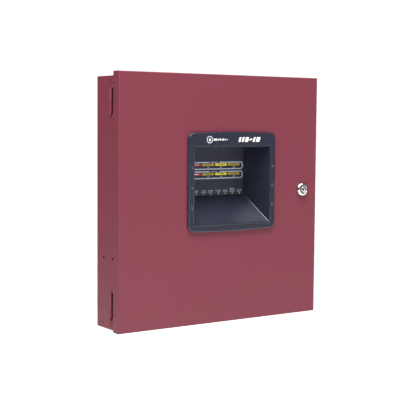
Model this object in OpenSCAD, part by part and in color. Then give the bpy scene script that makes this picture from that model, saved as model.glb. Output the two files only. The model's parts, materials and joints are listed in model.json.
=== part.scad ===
// Wall-mounted conventional fire alarm control panel: a folded steel backbox with a pan door on
// two pin hinges, a viewing bezel, a cam lock, and the board, supply and batteries inside.
// Origin: centre of the backbox's wall face. X runs right, Y into the wall, Z up.
// The door's front skin lies at y = front_y, on the negative side.

/* [Enclosure] */
// Width of the backbox
box_w = 368; // [364:1:372]
// Height of the backbox
box_h = 378; // [372:1:384]
// Depth of the backbox, wall face to front lip
box_d = 70; // [68:1:74]
// Thickness of the folded steel
sheet = 1.2; // [1.2:0.1:1.4]
// Radius of a conduit knockout
knockout_r = 14.3; // [11:0.1:14.3]

/* [Door] */
// Width of the door pan
door_w = 374; // [372.8:0.2:376]
// Depth of the door pan's flanges
door_flange = 17; // [15:1:18]
// How far the door hangs below the backbox
door_below = 1.8; // [1.7:0.1:2.4]
// How far the door stands above the backbox
door_above = 6.2; // [4:0.1:8]

/* [Bezel] */
// Width of the bezel's face
bezel_w = 166; // [164:1:168]
// Height of the bezel's face at its corners
bezel_h = 151; // [149:1:153]
// Width of the viewing opening at the face
view_w = 144; // [142:1:145]
// Height of the viewing opening at the face
view_h = 120; // [118:1:121]
// How far the bezel's face stands proud of the door
bezel_proud = 4.5; // [4:0.5:5]

/* [Lock] */
// Radius of the lock's head
lock_head_r = 11.1; // [10.5:0.1:11.5]
// How far the lock's flat face stands proud of the door
lock_head_h = 5.9; // [5:0.1:6.5]
// Reach of the cam from the lock's axis
cam_reach = 22; // [21:0.5:23]

/* [Board] */
// Width of the main board
board_w = 260; // [258:1:262]
// Height of the main board
board_h = 196; // [194:1:198]
// Diameter of an indicator
led_d = 3; // [2.5:0.1:3.2]
// Travel of a push button
button_travel = 1; // [0.5:0.1:1.2]

/* [Batteries] */
// Length of one battery
battery_w = 151; // [149:1:153]
// Thickness of one battery
battery_t = 65; // [64:0.5:65.5]
// Height of one battery's case
battery_h = 94; // [92:1:96]

/* [Hidden] */

round_fn = 48;          // facets drawn on a round feature
eps = 0.01;             // how far a cutter runs past a face

// Planes along Y, from the door's skin back to the wall
front_gap = 2.5;                                // door skin's face to the backbox's front lip
front_y = -box_d - front_gap;                   // outer face of the door's skin
skin_back_y = front_y + sheet;                  // inner face of the door's skin
flange_back_y = front_y + door_flange;          // rear edge of the door's flanges
back_in_y = -sheet;                             // inner face of the backbox's back
chassis_y = -7.2;                               // front face of the chassis plate
board_back_y = chassis_y - 8;                   // rear face of the board
board_front_y = board_back_y - 1.6;             // component face of the board
plate_back_y = board_front_y - 7.2;             // rear face of the display plate
plate_front_y = plate_back_y - 1.5;             // printed face of the display plate
funnel_back_y = plate_front_y - 1;              // rear rim of the bezel's recess

// Door and backbox in X and Z
door_h = box_h + door_below + door_above;
door_bottom = -box_h / 2 - door_below;
bend_r = 1.8;                                   // outer radius of the sheet's bends
lip_w = 9;                                      // width of the backbox's front lips

// Hinges: the pin's axis is just outside the door's left flange
hinge_x = -door_w / 2 - 0.2;
hinge_y = flange_back_y + 7.5;
hinge_zs = [-152, 152];
knuckle_r = 2.4;
pin_r = 1.3;
pin_bore_r = 1.35;
knuckle_h = 17.3;
knuckle_gap = 0.5;                              // each knuckle's end to the hinge's middle
leaf_t = 1.2;
leaf_reach = 1.9;                               // pin's axis to where a leaf leaves its knuckle
box_leaf_w = 23;                                // pin's axis to the rear edge of the box's leaf
box_leaf_half_h = 27;
door_leaf_w = 10;                               // door leaf's width on the flange
door_leaf_bend = 12;                            // pin's axis to the door leaf's outward bend
window_half_h = 18.8;                           // half height of the side wall's hinge window
window_front_y = hinge_y - 18;
window_back_y = hinge_y + 7.5;

// Bezel and the recess behind it
bezel_x = 15;
bezel_z = 29.5;
bezel_bow = 2;                                  // rise of the face's top and bottom edges
bezel_corner_r = 9;
bezel_wall = 1.5;
face_y = front_y - bezel_proud;
view_z0 = -36;
view_z1 = view_z0 + view_h;
rear_w = 115;                                   // recess width at its rear rim
rear_z0 = 5.2;
rear_z1 = 80.5;
cutout_clear = 0.9;                             // door cut-out past the recess's front edge
stud_x = 77;                                    // bezel stud's distance from the bezel's middle
stud_zs = [-8.4, 22.1, 52.8];
stud_r = 1.25;
dimple_r = 2.8;

// Lock
lock_x = 156.2;
lock_z = 13.2;
barrel_r = 9.4;
barrel_flat = 7.9;                              // half the distance across the barrel's flats
cam_front_y = front_y + 14.3;
cam_t = 1.6;
plug_r = 6;

// Board and display
board_x = 20;
board_z = 40;
board_corner = [board_w / 2 - 6, board_h / 2 - 6];
plate_w = 132;
plate_z0 = -30;
plate_z1 = 92;
zone_led_pitch = 25.2;
zone_led_xs = [for (i = [0:3]) bezel_x + (i - 1.5) * zone_led_pitch];
zone_led_zs = [49.8, 35];
system_led_pitch = 14.1;
system_led_xs = [for (i = [0:7]) bezel_x + (i - 3.5) * system_led_pitch];
system_led_z = 7.4;
button_pitch = 26;
button_xs = [for (i = [0:3]) bezel_x + (i - 1.5) * button_pitch];
button_z = -13;
button_r = 4;
button_top_y = plate_front_y - 3;

// Batteries
battery_x = 91;                                 // middle of each battery from the panel's middle
battery_y = -2.3;                               // rear face of both batteries
battery_z0 = -box_h / 2 + sheet;
battery_top = battery_z0 + battery_h;

module slab(x0, x1, y0, y1, z0, z1) {
    translate([x0, y0, z0]) cube([x1 - x0, y1 - y0, z1 - z0]);
}

// Cylinder along Y from y0 to y1
module y_rod(r, y0, y1, x, z, fn = round_fn) {
    translate([x, y0, z]) rotate([-90, 0, 0]) cylinder(r = r, h = y1 - y0, $fn = fn);
}

// Cylinder along X from x0 to x1
module x_rod(r, x0, x1, y, z, fn = round_fn) {
    translate([x0, y, z]) rotate([0, 90, 0]) cylinder(r = r, h = x1 - x0, $fn = fn);
}

module z_rod(r, z0, z1, x, y, fn = round_fn) {
    translate([x, y, z0]) cylinder(r = r, h = z1 - z0, $fn = fn);
}

// Profile of a folded pan: w wide and d deep, with its two far corners bent at radius r
module pan_profile(w, d, r) {
    translate([-w / 2, 0]) square([w, d - r]);
    translate([-w / 2 + r, 0]) square([w - 2 * r, d]);
    for (s = [-1, 1]) translate([s * (w / 2 - r), d - r]) circle(r, $fn = round_fn);
}

// Block whose closed face looks along +Z, w by h, d deep from z = 0
module pan_block(w, h, d, r) {
    intersection() {
        rotate([90, 0, 0]) translate([0, 0, -h / 2]) linear_extrude(h) pan_profile(w, d, r);
        rotate([90, 0, 90]) translate([0, 0, -w / 2]) linear_extrude(w) pan_profile(h, d, r);
    }
}

// Open pan of folded sheet
module pan(w, h, d) {
    difference() {
        pan_block(w, h, d, bend_r);
        translate([0, 0, -1])
            pan_block(w - 2 * sheet, h - 2 * sheet, d - sheet + 1, bend_r - sheet);
    }
}

// ---------- Backbox ----------

top_knockout_xs = [-120, -40, 40, 120];
open_knockout_xs = [-40, 40];
bottom_knockout_xs = [-60, 60];
side_knockout_zs = [-40, 60];
knockout_y = -34;
keyhole_x = 110;
keyhole_z = 164;
keyhole_head_r = 5.5;
keyhole_slot_r = 3;
wall_hole_r = 3.2;
wall_hole_x = 130;
wall_hole_z = -82;
side_hole_r = 1.5;
side_holes = [[-19, -box_h / 2 + 8], [-44, -box_h / 2 + 8], [-22, -82], [-49, -82],
    [-19, box_h / 2 - 7], [-44, box_h / 2 - 7]];    // Y and Z of each hole

module backbox() {
    color([0.55, 0.16, 0.2]) difference() {
        union() {
            translate([0, -box_d, 0]) rotate([-90, 0, 0]) pan(box_w, box_h, box_d);
            front_lips();
        }
        for (x = top_knockout_xs) z_rod(knockout_r, box_h / 2 - 5, box_h / 2 + 5, x, knockout_y);
        for (x = bottom_knockout_xs)
            z_rod(knockout_r, -box_h / 2 - 5, -box_h / 2 + 5, x, knockout_y);
        for (z = side_knockout_zs)
            x_rod(knockout_r, box_w / 2 - 5, box_w / 2 + 5, knockout_y, z);
        for (s = [-1, 1]) {
            y_rod(wall_hole_r, -5, 5, s * wall_hole_x, wall_hole_z);
            keyhole(s * keyhole_x);
        }
        for (at = side_holes, s = [-1, 1])
            x_rod(side_hole_r, s * box_w / 2 - 3, s * box_w / 2 + 3, at[0], at[1], 24);
        for (z = hinge_zs)
            slab(-box_w / 2 - 1, -box_w / 2 + sheet + 1, window_front_y, window_back_y,
                z - window_half_h, z + window_half_h);
    }
}

// Inward lips around the backbox's front edge
module front_lips() {
    difference() {
        slab(-box_w / 2 + eps, box_w / 2 - eps, -box_d, -box_d + sheet,
            -box_h / 2 + eps, box_h / 2 - eps);
        slab(-box_w / 2 + lip_w, box_w / 2 - lip_w, -box_d - 1, -box_d + sheet + 1,
            -box_h / 2 + lip_w, box_h / 2 - lip_w);
    }
}

// Hanging keyhole: the screw's head enters below and its neck slides up the slot
module keyhole(x) {
    y_rod(keyhole_head_r, -5, 5, x, keyhole_z);
    slab(x - keyhole_slot_r, x + keyhole_slot_r, -5, 5, keyhole_z, keyhole_z + 10);
    y_rod(keyhole_slot_r, -5, 5, x, keyhole_z + 10);
}

// Round blank left in each unused conduit entry, held by two tabs
module knockout_blank() {
    blank_gap = 0.35;
    blank_t = sheet - 0.2;
    tab_w = 3;
    cylinder(r = knockout_r - blank_gap, h = blank_t, $fn = round_fn);
    for (a = [0, 180]) rotate(a)
        translate([knockout_r - blank_gap - 0.5, -tab_w / 2, 0]) cube([0.75, tab_w, blank_t]);
}

module knockout_blanks() {
    color([0.55, 0.16, 0.2]) {
        for (x = top_knockout_xs) if (len(search(x, open_knockout_xs)) == 0)
            translate([x, knockout_y, box_h / 2 - sheet]) knockout_blank();
        for (x = bottom_knockout_xs)
            translate([x, knockout_y, -box_h / 2 + 0.2]) knockout_blank();
        for (z = side_knockout_zs)
            translate([box_w / 2 - sheet, knockout_y, z]) rotate([0, 90, 0]) knockout_blank();
    }
}

// Angle welded inside the right wall; the lock's cam turns in behind it
strike_gap = 0.4;                               // strike's rear face to the cam's front face
strike_y = cam_front_y - strike_gap - sheet;
strike_x = 172;
strike_flange = 12;
strike_half_h = 20;
module lock_strike() {
    color([0.55, 0.16, 0.2]) {
        slab(strike_x, box_w / 2 - sheet, strike_y, strike_y + sheet, lock_z - strike_half_h,
            lock_z + strike_half_h);
        slab(box_w / 2 - 2 * sheet, box_w / 2 - sheet, strike_y, strike_y + strike_flange,
            lock_z - strike_half_h, lock_z + strike_half_h);
    }
}

// ---------- Hinges ----------

module knuckle(z0, z1, bore_r) {
    difference() {
        z_rod(knuckle_r, z0, z1, hinge_x, hinge_y);
        z_rod(bore_r, z0 - 1, z1 + 1, hinge_x, hinge_y);
    }
}

box_in_x = -box_w / 2 + sheet;                  // inner face of the left wall
deep_leaf_x = box_in_x + 1.4;                   // outer face of the door leaf's inner run
flange_in_x = -door_w / 2 + sheet;              // inner face of the door's left flange

// Lower knuckle and its leaf, welded to the inside of the side wall
module box_hinge_leaf(z) {
    low = z - knuckle_gap - knuckle_h;
    high = z - knuckle_gap;
    knuckle(low, high, pin_r);
    slab(hinge_x + leaf_reach, box_in_x + leaf_t, hinge_y - leaf_t / 2, hinge_y + leaf_t / 2,
        low, high);
    slab(box_in_x, box_in_x + leaf_t, hinge_y - leaf_t / 2, hinge_y + box_leaf_w, low, high);
    slab(box_in_x, box_in_x + leaf_t, hinge_y + knuckle_r, hinge_y + box_leaf_w,
        z - box_leaf_half_h, z + box_leaf_half_h);
}

module box_hinge_leaves() {
    color([0.5, 0.14, 0.18]) for (z = hinge_zs) box_hinge_leaf(z);
}

// Upper knuckle and its leaf, which runs in through the window and out again to the door's flange
module door_hinge_leaf(z) {
    low = z + knuckle_gap;
    high = z + knuckle_gap + knuckle_h;
    bend_y = hinge_y - door_leaf_bend;
    knuckle(low, high, pin_bore_r);
    slab(hinge_x + leaf_reach, deep_leaf_x + leaf_t, hinge_y - leaf_t / 2, hinge_y + leaf_t / 2,
        low, high);
    slab(deep_leaf_x, deep_leaf_x + leaf_t, bend_y - leaf_t, hinge_y + leaf_t / 2, low, high);
    slab(flange_in_x, deep_leaf_x + leaf_t, bend_y - leaf_t, bend_y, low, high);
    slab(flange_in_x, flange_in_x + leaf_t, bend_y - door_leaf_w, bend_y,
        2 * z - high + 2, high);
}

module door_hinge_leaves() {
    color([0.5, 0.14, 0.18]) for (z = hinge_zs) door_hinge_leaf(z);
}

module hinge_pins() {
    color("silver") for (z = hinge_zs)
        z_rod(pin_r, z - knuckle_gap - knuckle_h, z + knuckle_gap + knuckle_h - 2,
            hinge_x, hinge_y);
}

module hinge_washers() {
    color("gainsboro") for (z = hinge_zs) difference() {
        z_rod(knuckle_r - 0.2, z - knuckle_gap, z + knuckle_gap - 0.2, hinge_x, hinge_y);
        z_rod(pin_bore_r, z - 2, z + 2, hinge_x, hinge_y);
    }
}

// ---------- Chassis and boards ----------

chassis_x = 16;
chassis_w = 276;
chassis_h = 222;
chassis_stud_inset = 6;
chassis_stud_at = [for (sx = [-1, 1], sz = [-1, 1])
    [chassis_x + sx * (chassis_w / 2 - chassis_stud_inset),
        board_z + sz * (chassis_h / 2 - chassis_stud_inset)]];
standoff_at = [for (sx = [-1, 1], sz = [-1, 0, 1])
    [board_x + sx * board_corner[0], board_z + sz * board_corner[1]]];
display_post_inset = 5;
display_post_at = [
    for (sx = [-1, 1], z = [plate_z0 + display_post_inset, plate_z1 - display_post_inset])
        [bezel_x + sx * (plate_w / 2 - display_post_inset), z]];
chassis_stud_r = 2;
chassis_stud_base_r = 4;
chassis_thread = 5;                             // stud's thread in front of the chassis plate
screw_r = 1.5;
screw_head_r = 2.9;
screw_head_h = 1.8;
spacer_r = 3.2;
tap_gap = 0.05;                                 // threaded bore's radius past its screw's

module chassis_plate() {
    color("gainsboro") difference() {
        slab(chassis_x - chassis_w / 2, chassis_x + chassis_w / 2, chassis_y, chassis_y + sheet,
            board_z - chassis_h / 2, board_z + chassis_h / 2);
        for (p = chassis_stud_at) y_rod(chassis_stud_r + 0.3, -20, 0, p[0], p[1]);
        for (p = standoff_at) y_rod(screw_r + 0.2, -20, 0, p[0], p[1], 24);
    }
}

module chassis_studs() {
    color("silver") for (p = chassis_stud_at) {
        y_rod(chassis_stud_base_r, chassis_y + sheet, back_in_y, p[0], p[1]);
        y_rod(chassis_stud_r, chassis_y - chassis_thread, chassis_y + sheet + eps, p[0], p[1]);
    }
}

module chassis_nuts() {
    color("silver") for (p = chassis_stud_at) difference() {
        y_rod(4, chassis_y - 3, chassis_y, p[0], p[1], 6);
        y_rod(chassis_stud_r + tap_gap, -30, 0, p[0], p[1]);
    }
}

module board_standoffs() {
    color("gold") for (p = standoff_at) difference() {
        y_rod(spacer_r, board_back_y, chassis_y, p[0], p[1], 6);
        y_rod(screw_r + tap_gap, board_back_y - 1, board_back_y + 6, p[0], p[1], 24);
    }
}

module main_board() {
    color([0.08, 0.33, 0.16]) difference() {
        slab(board_x - board_w / 2, board_x + board_w / 2, board_front_y, board_back_y,
            board_z - board_h / 2, board_z + board_h / 2);
        for (p = standoff_at) y_rod(screw_r + 0.2, -30, 0, p[0], p[1], 24);
        for (p = display_post_at) y_rod(screw_r + 0.2, -30, 0, p[0], p[1], 24);
    }
}

// Pan-head screw with a cross recess, its head seated on the plane y and its shank going into +Y
module pan_screw(x, y, z, head_r, head_h, shank_r, shank) {
    difference() {
        y_rod(head_r, y - head_h, y, x, z);
        for (a = [0, 90]) translate([x, y - head_h, z]) rotate([0, a, 0])
            cube([head_r * 1.1, head_h, head_r * 0.25], center = true);
    }
    y_rod(shank_r, y - eps, y + shank, x, z, 24);
}

module board_screws() {
    color("silver") for (p = standoff_at)
        pan_screw(p[0], board_front_y, p[1], screw_head_r, screw_head_h, screw_r, 5);
}

module display_plate() {
    color([0.16, 0.17, 0.21]) difference() {
        slab(bezel_x - plate_w / 2, bezel_x + plate_w / 2, plate_front_y, plate_back_y,
            plate_z0, plate_z1);
        for (x = zone_led_xs, z = zone_led_zs) y_rod(led_d / 2 + 0.2, -40, 0, x, z, 24);
        for (x = system_led_xs) y_rod(led_d / 2 + 0.2, -40, 0, x, system_led_z, 24);
        for (x = button_xs) y_rod(button_r + 0.4, -40, 0, x, button_z);
        for (p = display_post_at) y_rod(screw_r + 0.2, -40, 0, p[0], p[1], 24);
    }
}

module display_spacers() {
    color("white") for (p = display_post_at) difference() {
        y_rod(spacer_r, plate_back_y, board_front_y, p[0], p[1], 6);
        y_rod(screw_r + tap_gap, -40, 0, p[0], p[1], 24);
    }
}

module display_screws() {
    color("silver") for (p = display_post_at)
        pan_screw(p[0], plate_front_y, p[1], screw_head_r, 0.8, screw_r, 9);
}

// Domed indicator on a short stem, standing on the board
module led(x, z) {
    dome_y = plate_front_y - 0.3;
    y_rod(led_d / 2, dome_y, board_front_y, x, z, 24);
    intersection() {
        translate([x, dome_y, z]) sphere(led_d / 2, $fn = 24);
        y_rod(led_d, dome_y - led_d, dome_y + eps, x, z, 24);
    }
    y_rod(led_d / 2 + 0.5, board_front_y - 1.5, board_front_y, x, z, 24);
}

module alarm_leds() {
    color("red") for (z = zone_led_zs) led(zone_led_xs[0], z);
}

module yellow_leds() {
    color("gold") {
        for (i = [1:3], z = zone_led_zs) led(zone_led_xs[i], z);
        for (i = [0:6]) led(system_led_xs[i], system_led_z);
    }
}

module power_led() {
    color("limegreen") led(system_led_xs[7], system_led_z);
}

switch_half_w = 6;
switch_h = 4.3;
switch_floor = 1;                               // board to the floor of a switch's well
stem_r = 1.8;

module switch_bodies() {
    color([0.12, 0.12, 0.12]) for (x = button_xs)
        difference() {
            slab(x - switch_half_w, x + switch_half_w, board_front_y - switch_h, board_front_y,
                button_z - switch_half_w, button_z + switch_half_w);
            y_rod(stem_r + 0.4, board_front_y - switch_h - 1, board_front_y - switch_floor,
                x, button_z);
        }
}

// Push-button cap: a stem in the switch body, a collar behind the plate and a round key
module button(i) {
    x = button_xs[i];
    stem_y = board_front_y - switch_floor - button_travel - 0.4;
    collar_y = board_front_y - 5.8;
    step = 0.6;                                 // the key's stepped front edge
    y_rod(stem_r, collar_y - 1, stem_y, x, button_z);
    y_rod(button_r, button_top_y + step, collar_y, x, button_z);
    y_rod(button_r - step, button_top_y, button_top_y + step + eps, x, button_z);
}

module acknowledge_button() { color("lightgray") button(0); }
module silence_button() { color("lightgray") button(1); }
module reset_button() { color("lightgray") button(2); }
module drill_button() { color("lightgray") button(3); }

// ---------- Components on the board ----------

sounder_at = [118, 108];
sounder_h = 9;
module piezo_sounder() {
    color([0.1, 0.1, 0.1]) difference() {
        y_rod(12, board_front_y - sounder_h, board_front_y, sounder_at[0], sounder_at[1]);
        y_rod(1.6, board_front_y - sounder_h - 1, board_front_y - 3, sounder_at[0],
            sounder_at[1], 24);
    }
}

module microcontroller() {
    color([0.13, 0.13, 0.14]) slab(-8, 20, board_front_y - 3.5, board_front_y, -46, -34);
}

relay_zs = [28, 52, 76];
relay_x = 92;
relay_size = [28, 15, 12];
module relays() {
    color([0.85, 0.82, 0.7]) for (z = relay_zs)
        slab(relay_x, relay_x + relay_size[0], board_front_y - relay_size[1], board_front_y,
            z - relay_size[2] / 2, z + relay_size[2] / 2);
}

capacitor_at = [[-88, 8, 9], [-88, -16, 9], [-64, -38, 6.5]];    // X, Z and radius of each
module capacitors() {
    color([0.12, 0.14, 0.3]) for (c = capacitor_at)
        y_rod(c[2], board_front_y - 2.2 * c[2], board_front_y, c[0], c[1]);
}

sink_x = -96;
sink_z = 32;
sink_w = 24;
sink_h = 22;
sink_base = 3;
fin_pitch = 5.4;
fin_t = 2;
fin_count = 6;
module heat_sink() {
    color([0.2, 0.2, 0.22]) translate([sink_x, board_front_y, sink_z]) {
        slab(0, sink_w, -sink_base, 0, 0, (fin_count - 1) * fin_pitch + fin_t);
        for (i = [0:fin_count - 1])
            slab(0, sink_w, -sink_h, -sink_base + eps, i * fin_pitch, i * fin_pitch + fin_t);
    }
}

fuse_x = 86;
fuse_zs = [-44, -30];
fuse_y = board_front_y - 5;
fuse_r = 2.5;
holder_w = 26;
holder_base = 1.6;
clip_w = 3.6;
module fuse_holders() {
    color([0.15, 0.15, 0.15]) for (z = fuse_zs) {
        slab(fuse_x, fuse_x + holder_w, board_front_y - holder_base, board_front_y, z - 4, z + 4);
        for (x = [fuse_x, fuse_x + holder_w - clip_w]) difference() {
            slab(x, x + clip_w, board_front_y - 6.5, board_front_y - holder_base + eps,
                z - 3.4, z + 3.4);
            x_rod(fuse_r + 0.1, x - 1, x + 5, fuse_y, z);
        }
    }
}

module fuses() {
    color("whitesmoke") for (z = fuse_zs)
        x_rod(fuse_r, fuse_x + 1, fuse_x + holder_w - 1, fuse_y, z);
}

header_x = 122;
header_size = [8, 8, 40];
header_wall = 1.5;
module option_header() {
    color([0.1, 0.1, 0.1]) difference() {
        slab(header_x, header_x + header_size[0], board_front_y - header_size[1], board_front_y,
            -header_size[2], 0);
        slab(header_x + header_wall, header_x + header_size[0] - header_wall,
            board_front_y - header_size[1] - 1, board_front_y - 2,
            -header_size[2] + header_wall, -header_wall);
    }
}

jumper_x = 30;
jumper_z = -50;
jumper_pitch = 6;
jumper_size = [3, 8, 6];
module programming_jumpers() {
    color([0.1, 0.15, 0.5]) for (i = [0:4])
        translate([jumper_x + i * jumper_pitch, board_front_y - jumper_size[1], jumper_z])
            cube(jumper_size);
}

// Row of n screw terminals: a stepped body with a wire entry and a screw well at each pole.
// It is centred on x = 0 and stands on y = 0; its entries face +Z.
terminal_half_d = 7;
terminal_step = 12;                             // height of the body's low step
terminal_h = 15.5;
well_z = -2.5;
well_floor = 9;
module terminal_row(n, pitch) {
    w = n * pitch;
    difference() {
        union() {
            slab(-w / 2, w / 2, -terminal_step, 0, -terminal_half_d, terminal_half_d);
            slab(-w / 2, w / 2, -terminal_h, -terminal_step + eps, -terminal_half_d, 2);
        }
        for (i = [0:n - 1]) translate([(i - (n - 1) / 2) * pitch, 0, 0]) {
            y_rod(pitch * 0.36, -terminal_h - 1, -well_floor, 0, well_z, 24);
            slab(-pitch * 0.3, pitch * 0.3, -8, -3, 3, terminal_half_d + 1);
        }
    }
}

module terminal_screws(n, pitch) {
    head = 2.5;
    slot = 1;
    for (i = [0:n - 1]) translate([(i - (n - 1) / 2) * pitch, -well_floor, well_z])
        difference() {
            y_rod(pitch * 0.33, -head, 0, 0, 0, 24);
            slab(-pitch * 0.4, pitch * 0.4, -head - 1, -head + slot, -0.4, 0.4);
        }
}

zone_poles = 24;
zone_pitch = 7.6;
zone_block_at = [board_x + 10, board_front_y, board_z + board_h / 2 - 9];
power_poles = 5;
power_pitch = 9;
power_block_at = [board_x - board_w / 2 + 9, board_front_y, 102];

module zone_terminal_block() {
    color([0.1, 0.1, 0.11]) translate(zone_block_at) terminal_row(zone_poles, zone_pitch);
}

module zone_terminal_screws() {
    color("silver") translate(zone_block_at) terminal_screws(zone_poles, zone_pitch);
}

// Mains block: its poles run down the board's left edge
module power_terminal_block() {
    color([0.1, 0.1, 0.11]) translate(power_block_at) rotate([0, -90, 0])
        terminal_row(power_poles, power_pitch);
}

module power_terminal_screws() {
    color("silver") translate(power_block_at) rotate([0, -90, 0])
        terminal_screws(power_poles, power_pitch);
}

// ---------- Transformer ----------

core_x = -150;
core_z = 75;
core_back_y = -7;
core_w = 48;
core_h = 57;
core_t = 20;
core_leg_w = 16;
core_window_h = 40;
coil_t = 38;
coil_w = 31.2;
coil_h = 39.2;
core_mid_y = core_back_y - coil_t / 2;

module transformer_core() {
    color([0.35, 0.35, 0.37]) difference() {
        slab(core_x - core_w / 2, core_x + core_w / 2, core_mid_y - core_t / 2,
            core_mid_y + core_t / 2, core_z - core_h / 2, core_z + core_h / 2);
        for (s = [-1, 1])
            slab(core_x + s * 12 - 4, core_x + s * 12 + 4, core_mid_y - core_t, core_mid_y + core_t,
                core_z - core_window_h / 2, core_z + core_window_h / 2);
    }
}

// Winding around the core's middle leg
module transformer_coil() {
    color([0.75, 0.62, 0.2]) difference() {
        slab(core_x - coil_w / 2, core_x + coil_w / 2, core_mid_y - coil_t / 2,
            core_mid_y + coil_t / 2, core_z - coil_h / 2, core_z + coil_h / 2);
        slab(core_x - core_leg_w / 2, core_x + core_leg_w / 2, core_mid_y - core_t / 2,
            core_mid_y + core_t / 2, core_z - coil_h, core_z + coil_h);
    }
}

// Frame around the core: two straps in front, a plate over each end, and a foot on each plate
bracket_foot = 12;
bracket_hole = 7;                               // core's end to each foot's hole
module transformer_bracket() {
    strap_y = core_mid_y - core_t / 2 - sheet;
    strap_w = 8;
    strap_x = (core_w - strap_w) / 2;
    end_z = core_h / 2;
    color("silver") translate([core_x, 0, core_z]) difference() {
        union() {
            for (s = [-1, 1])
                slab(s * strap_x - strap_w / 2, s * strap_x + strap_w / 2, strap_y,
                    strap_y + sheet, -end_z - sheet, end_z + sheet);
            for (s = [-1, 1]) {
                mid = s * (end_z + sheet / 2);
                foot = s * (end_z + bracket_foot / 2);
                slab(-core_w / 2, core_w / 2, strap_y, back_in_y, mid - sheet / 2, mid + sheet / 2);
                slab(-8, 8, back_in_y - sheet, back_in_y, foot - bracket_foot / 2,
                    foot + bracket_foot / 2);
            }
        }
        for (s = [-1, 1]) y_rod(screw_r + 0.3, -10, 0, 0, s * (end_z + bracket_hole), 24);
    }
}

module transformer_screws() {
    color("silver") for (s = [-1, 1])
        pan_screw(core_x, back_in_y - sheet, core_z + s * (core_h / 2 + bracket_hole),
            screw_head_r, screw_head_h, screw_r, 1.1);
}

// ---------- Batteries and leads ----------

tab_x = 62;                                     // terminal's distance from the battery's middle
tab_y = battery_y - battery_t / 2;
tab_well = 3;                                   // depth of the hollow around each terminal
tab_size = [4.8, 0.8, 6.4];

module battery() {
    lid_h = 6;
    seam = 0.6;                                 // depth and height of the groove under the lid
    difference() {
        union() {
            slab(-battery_w / 2, battery_w / 2, battery_y - battery_t, battery_y,
                battery_z0, battery_top - lid_h - seam);
            slab(-battery_w / 2 + seam, battery_w / 2 - seam, battery_y - battery_t + seam,
                battery_y - seam, battery_top - lid_h - seam - 0.4, battery_top - lid_h + 0.4);
            slab(-battery_w / 2, battery_w / 2, battery_y - battery_t, battery_y,
                battery_top - lid_h, battery_top);
        }
        for (s = [-1, 1])
            slab(s * tab_x - 8, s * tab_x + 8, tab_y - 7, tab_y + 7, battery_top - tab_well,
                battery_top + 1);
    }
}

module battery_left() { color([0.2, 0.21, 0.23]) translate([-battery_x, 0, 0]) battery(); }
module battery_right() { color([0.2, 0.21, 0.23]) translate([battery_x, 0, 0]) battery(); }

module battery_terminals() {
    color("silver") for (side = [-1, 1], s = [-1, 1])
        translate([side * battery_x + s * tab_x - tab_size[0] / 2, tab_y - tab_size[1] / 2,
            battery_top - tab_well]) cube(tab_size);
}

function unit(v) = v / norm(v);

// Point at share t of the stretch from p[i] to p[i + 1] on a smooth curve through every point of p
function smooth(p, i, t) =
    let (n = len(p) - 1, a = p[max(i - 1, 0)], b = p[i], c = p[i + 1], d = p[min(i + 2, n)])
    0.5 * (2 * b + (c - a) * t + (2 * a - 5 * b + 4 * c - d) * t * t
        + (3 * b - a - 3 * c + d) * t * t * t);

function curve(p, steps) = concat(
    [for (i = [0:len(p) - 2], s = [0:steps - 1]) smooth(p, i, s / steps)], [p[len(p) - 1]]);

// Round insulated lead along the points p, one ring per point
module lead(p, r) {
    sides = 8;
    n = len(p);
    rings = [for (i = [0:n - 1])
        let (t = unit(p[min(i + 1, n - 1)] - p[max(i - 1, 0)]),
            u = unit(cross(t, [0.3, 0.9, 0.2])), v = cross(t, u))
        for (k = [0:sides - 1]) p[i] + r * (cos(k * 360 / sides) * u + sin(k * 360 / sides) * v)];
    walls = [for (i = [0:n - 2], k = [0:sides - 1])
        [i * sides + k, i * sides + (k + 1) % sides, (i + 1) * sides + (k + 1) % sides,
            (i + 1) * sides + k]];
    ends = [[for (k = [sides - 1:-1:0]) k], [for (k = [0:sides - 1]) (n - 1) * sides + k]];
    polyhedron(rings, concat(walls, ends), convexity = 6);
}

lead_r = 1.3;
tab_top = battery_top - tab_well + tab_size[2] + 0.2;    // where a lead meets its terminal
socket_x = -67;
socket_z = -57;                                 // lower face of the battery socket

lead_end_y = board_front_y - 3;

link_route = [[-29, tab_y, tab_top], [-27, tab_y, tab_top + 9], [-14, tab_y, tab_top + 15],
    [14, tab_y, tab_top + 15], [27, tab_y, tab_top + 9], [29, tab_y, tab_top]];
red_route = [[-153, tab_y, tab_top], [-153, tab_y, tab_top + 10], [-146, tab_y, tab_top + 18],
    [-128, tab_y, tab_top + 21], [-96, tab_y + 3, tab_top + 21], [-80, tab_y + 7, tab_top + 21],
    [-72, -25, tab_top + 23], [socket_x - 3, -20.5, tab_top + 27],
    [socket_x - 3, lead_end_y, socket_z]];
black_route = [[153, tab_y, tab_top], [153, tab_y, tab_top + 10], [146, tab_y, tab_top + 18],
    [128, tab_y, tab_top + 21], [60, tab_y, tab_top + 21], [0, tab_y, tab_top + 21],
    [-40, tab_y + 3, tab_top + 21], [-54, tab_y + 7, tab_top + 21],
    [-62, -25, tab_top + 23], [socket_x + 3, -20.5, tab_top + 27],
    [socket_x + 3, lead_end_y, socket_z]];
coil_edge_x = core_x + coil_w / 2;
transformer_route = [[0, 0, 0], [7, 0.5, -0.5], [14, 3, -1], [19, 9, -1.5], [22, 14, -2],
    [27, 17, -2]];

module battery_socket() {
    socket_size = [13, 7, 9];
    color("ivory") translate([socket_x - socket_size[0] / 2, board_front_y - socket_size[1],
        socket_z]) cube(socket_size);
}

module transformer_leads() {
    color("goldenrod") for (z = [86, 95])
        translate([coil_edge_x, -40, z]) lead(curve(transformer_route, 3), 1);
}

module battery_link_lead() { color([0.85, 0.85, 0.85]) lead(curve(link_route, 4), lead_r); }
module battery_red_lead() { color("firebrick") lead(curve(red_route, 3), lead_r); }
module battery_black_lead() { color([0.08, 0.08, 0.08]) lead(curve(black_route, 3), lead_r); }

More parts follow.
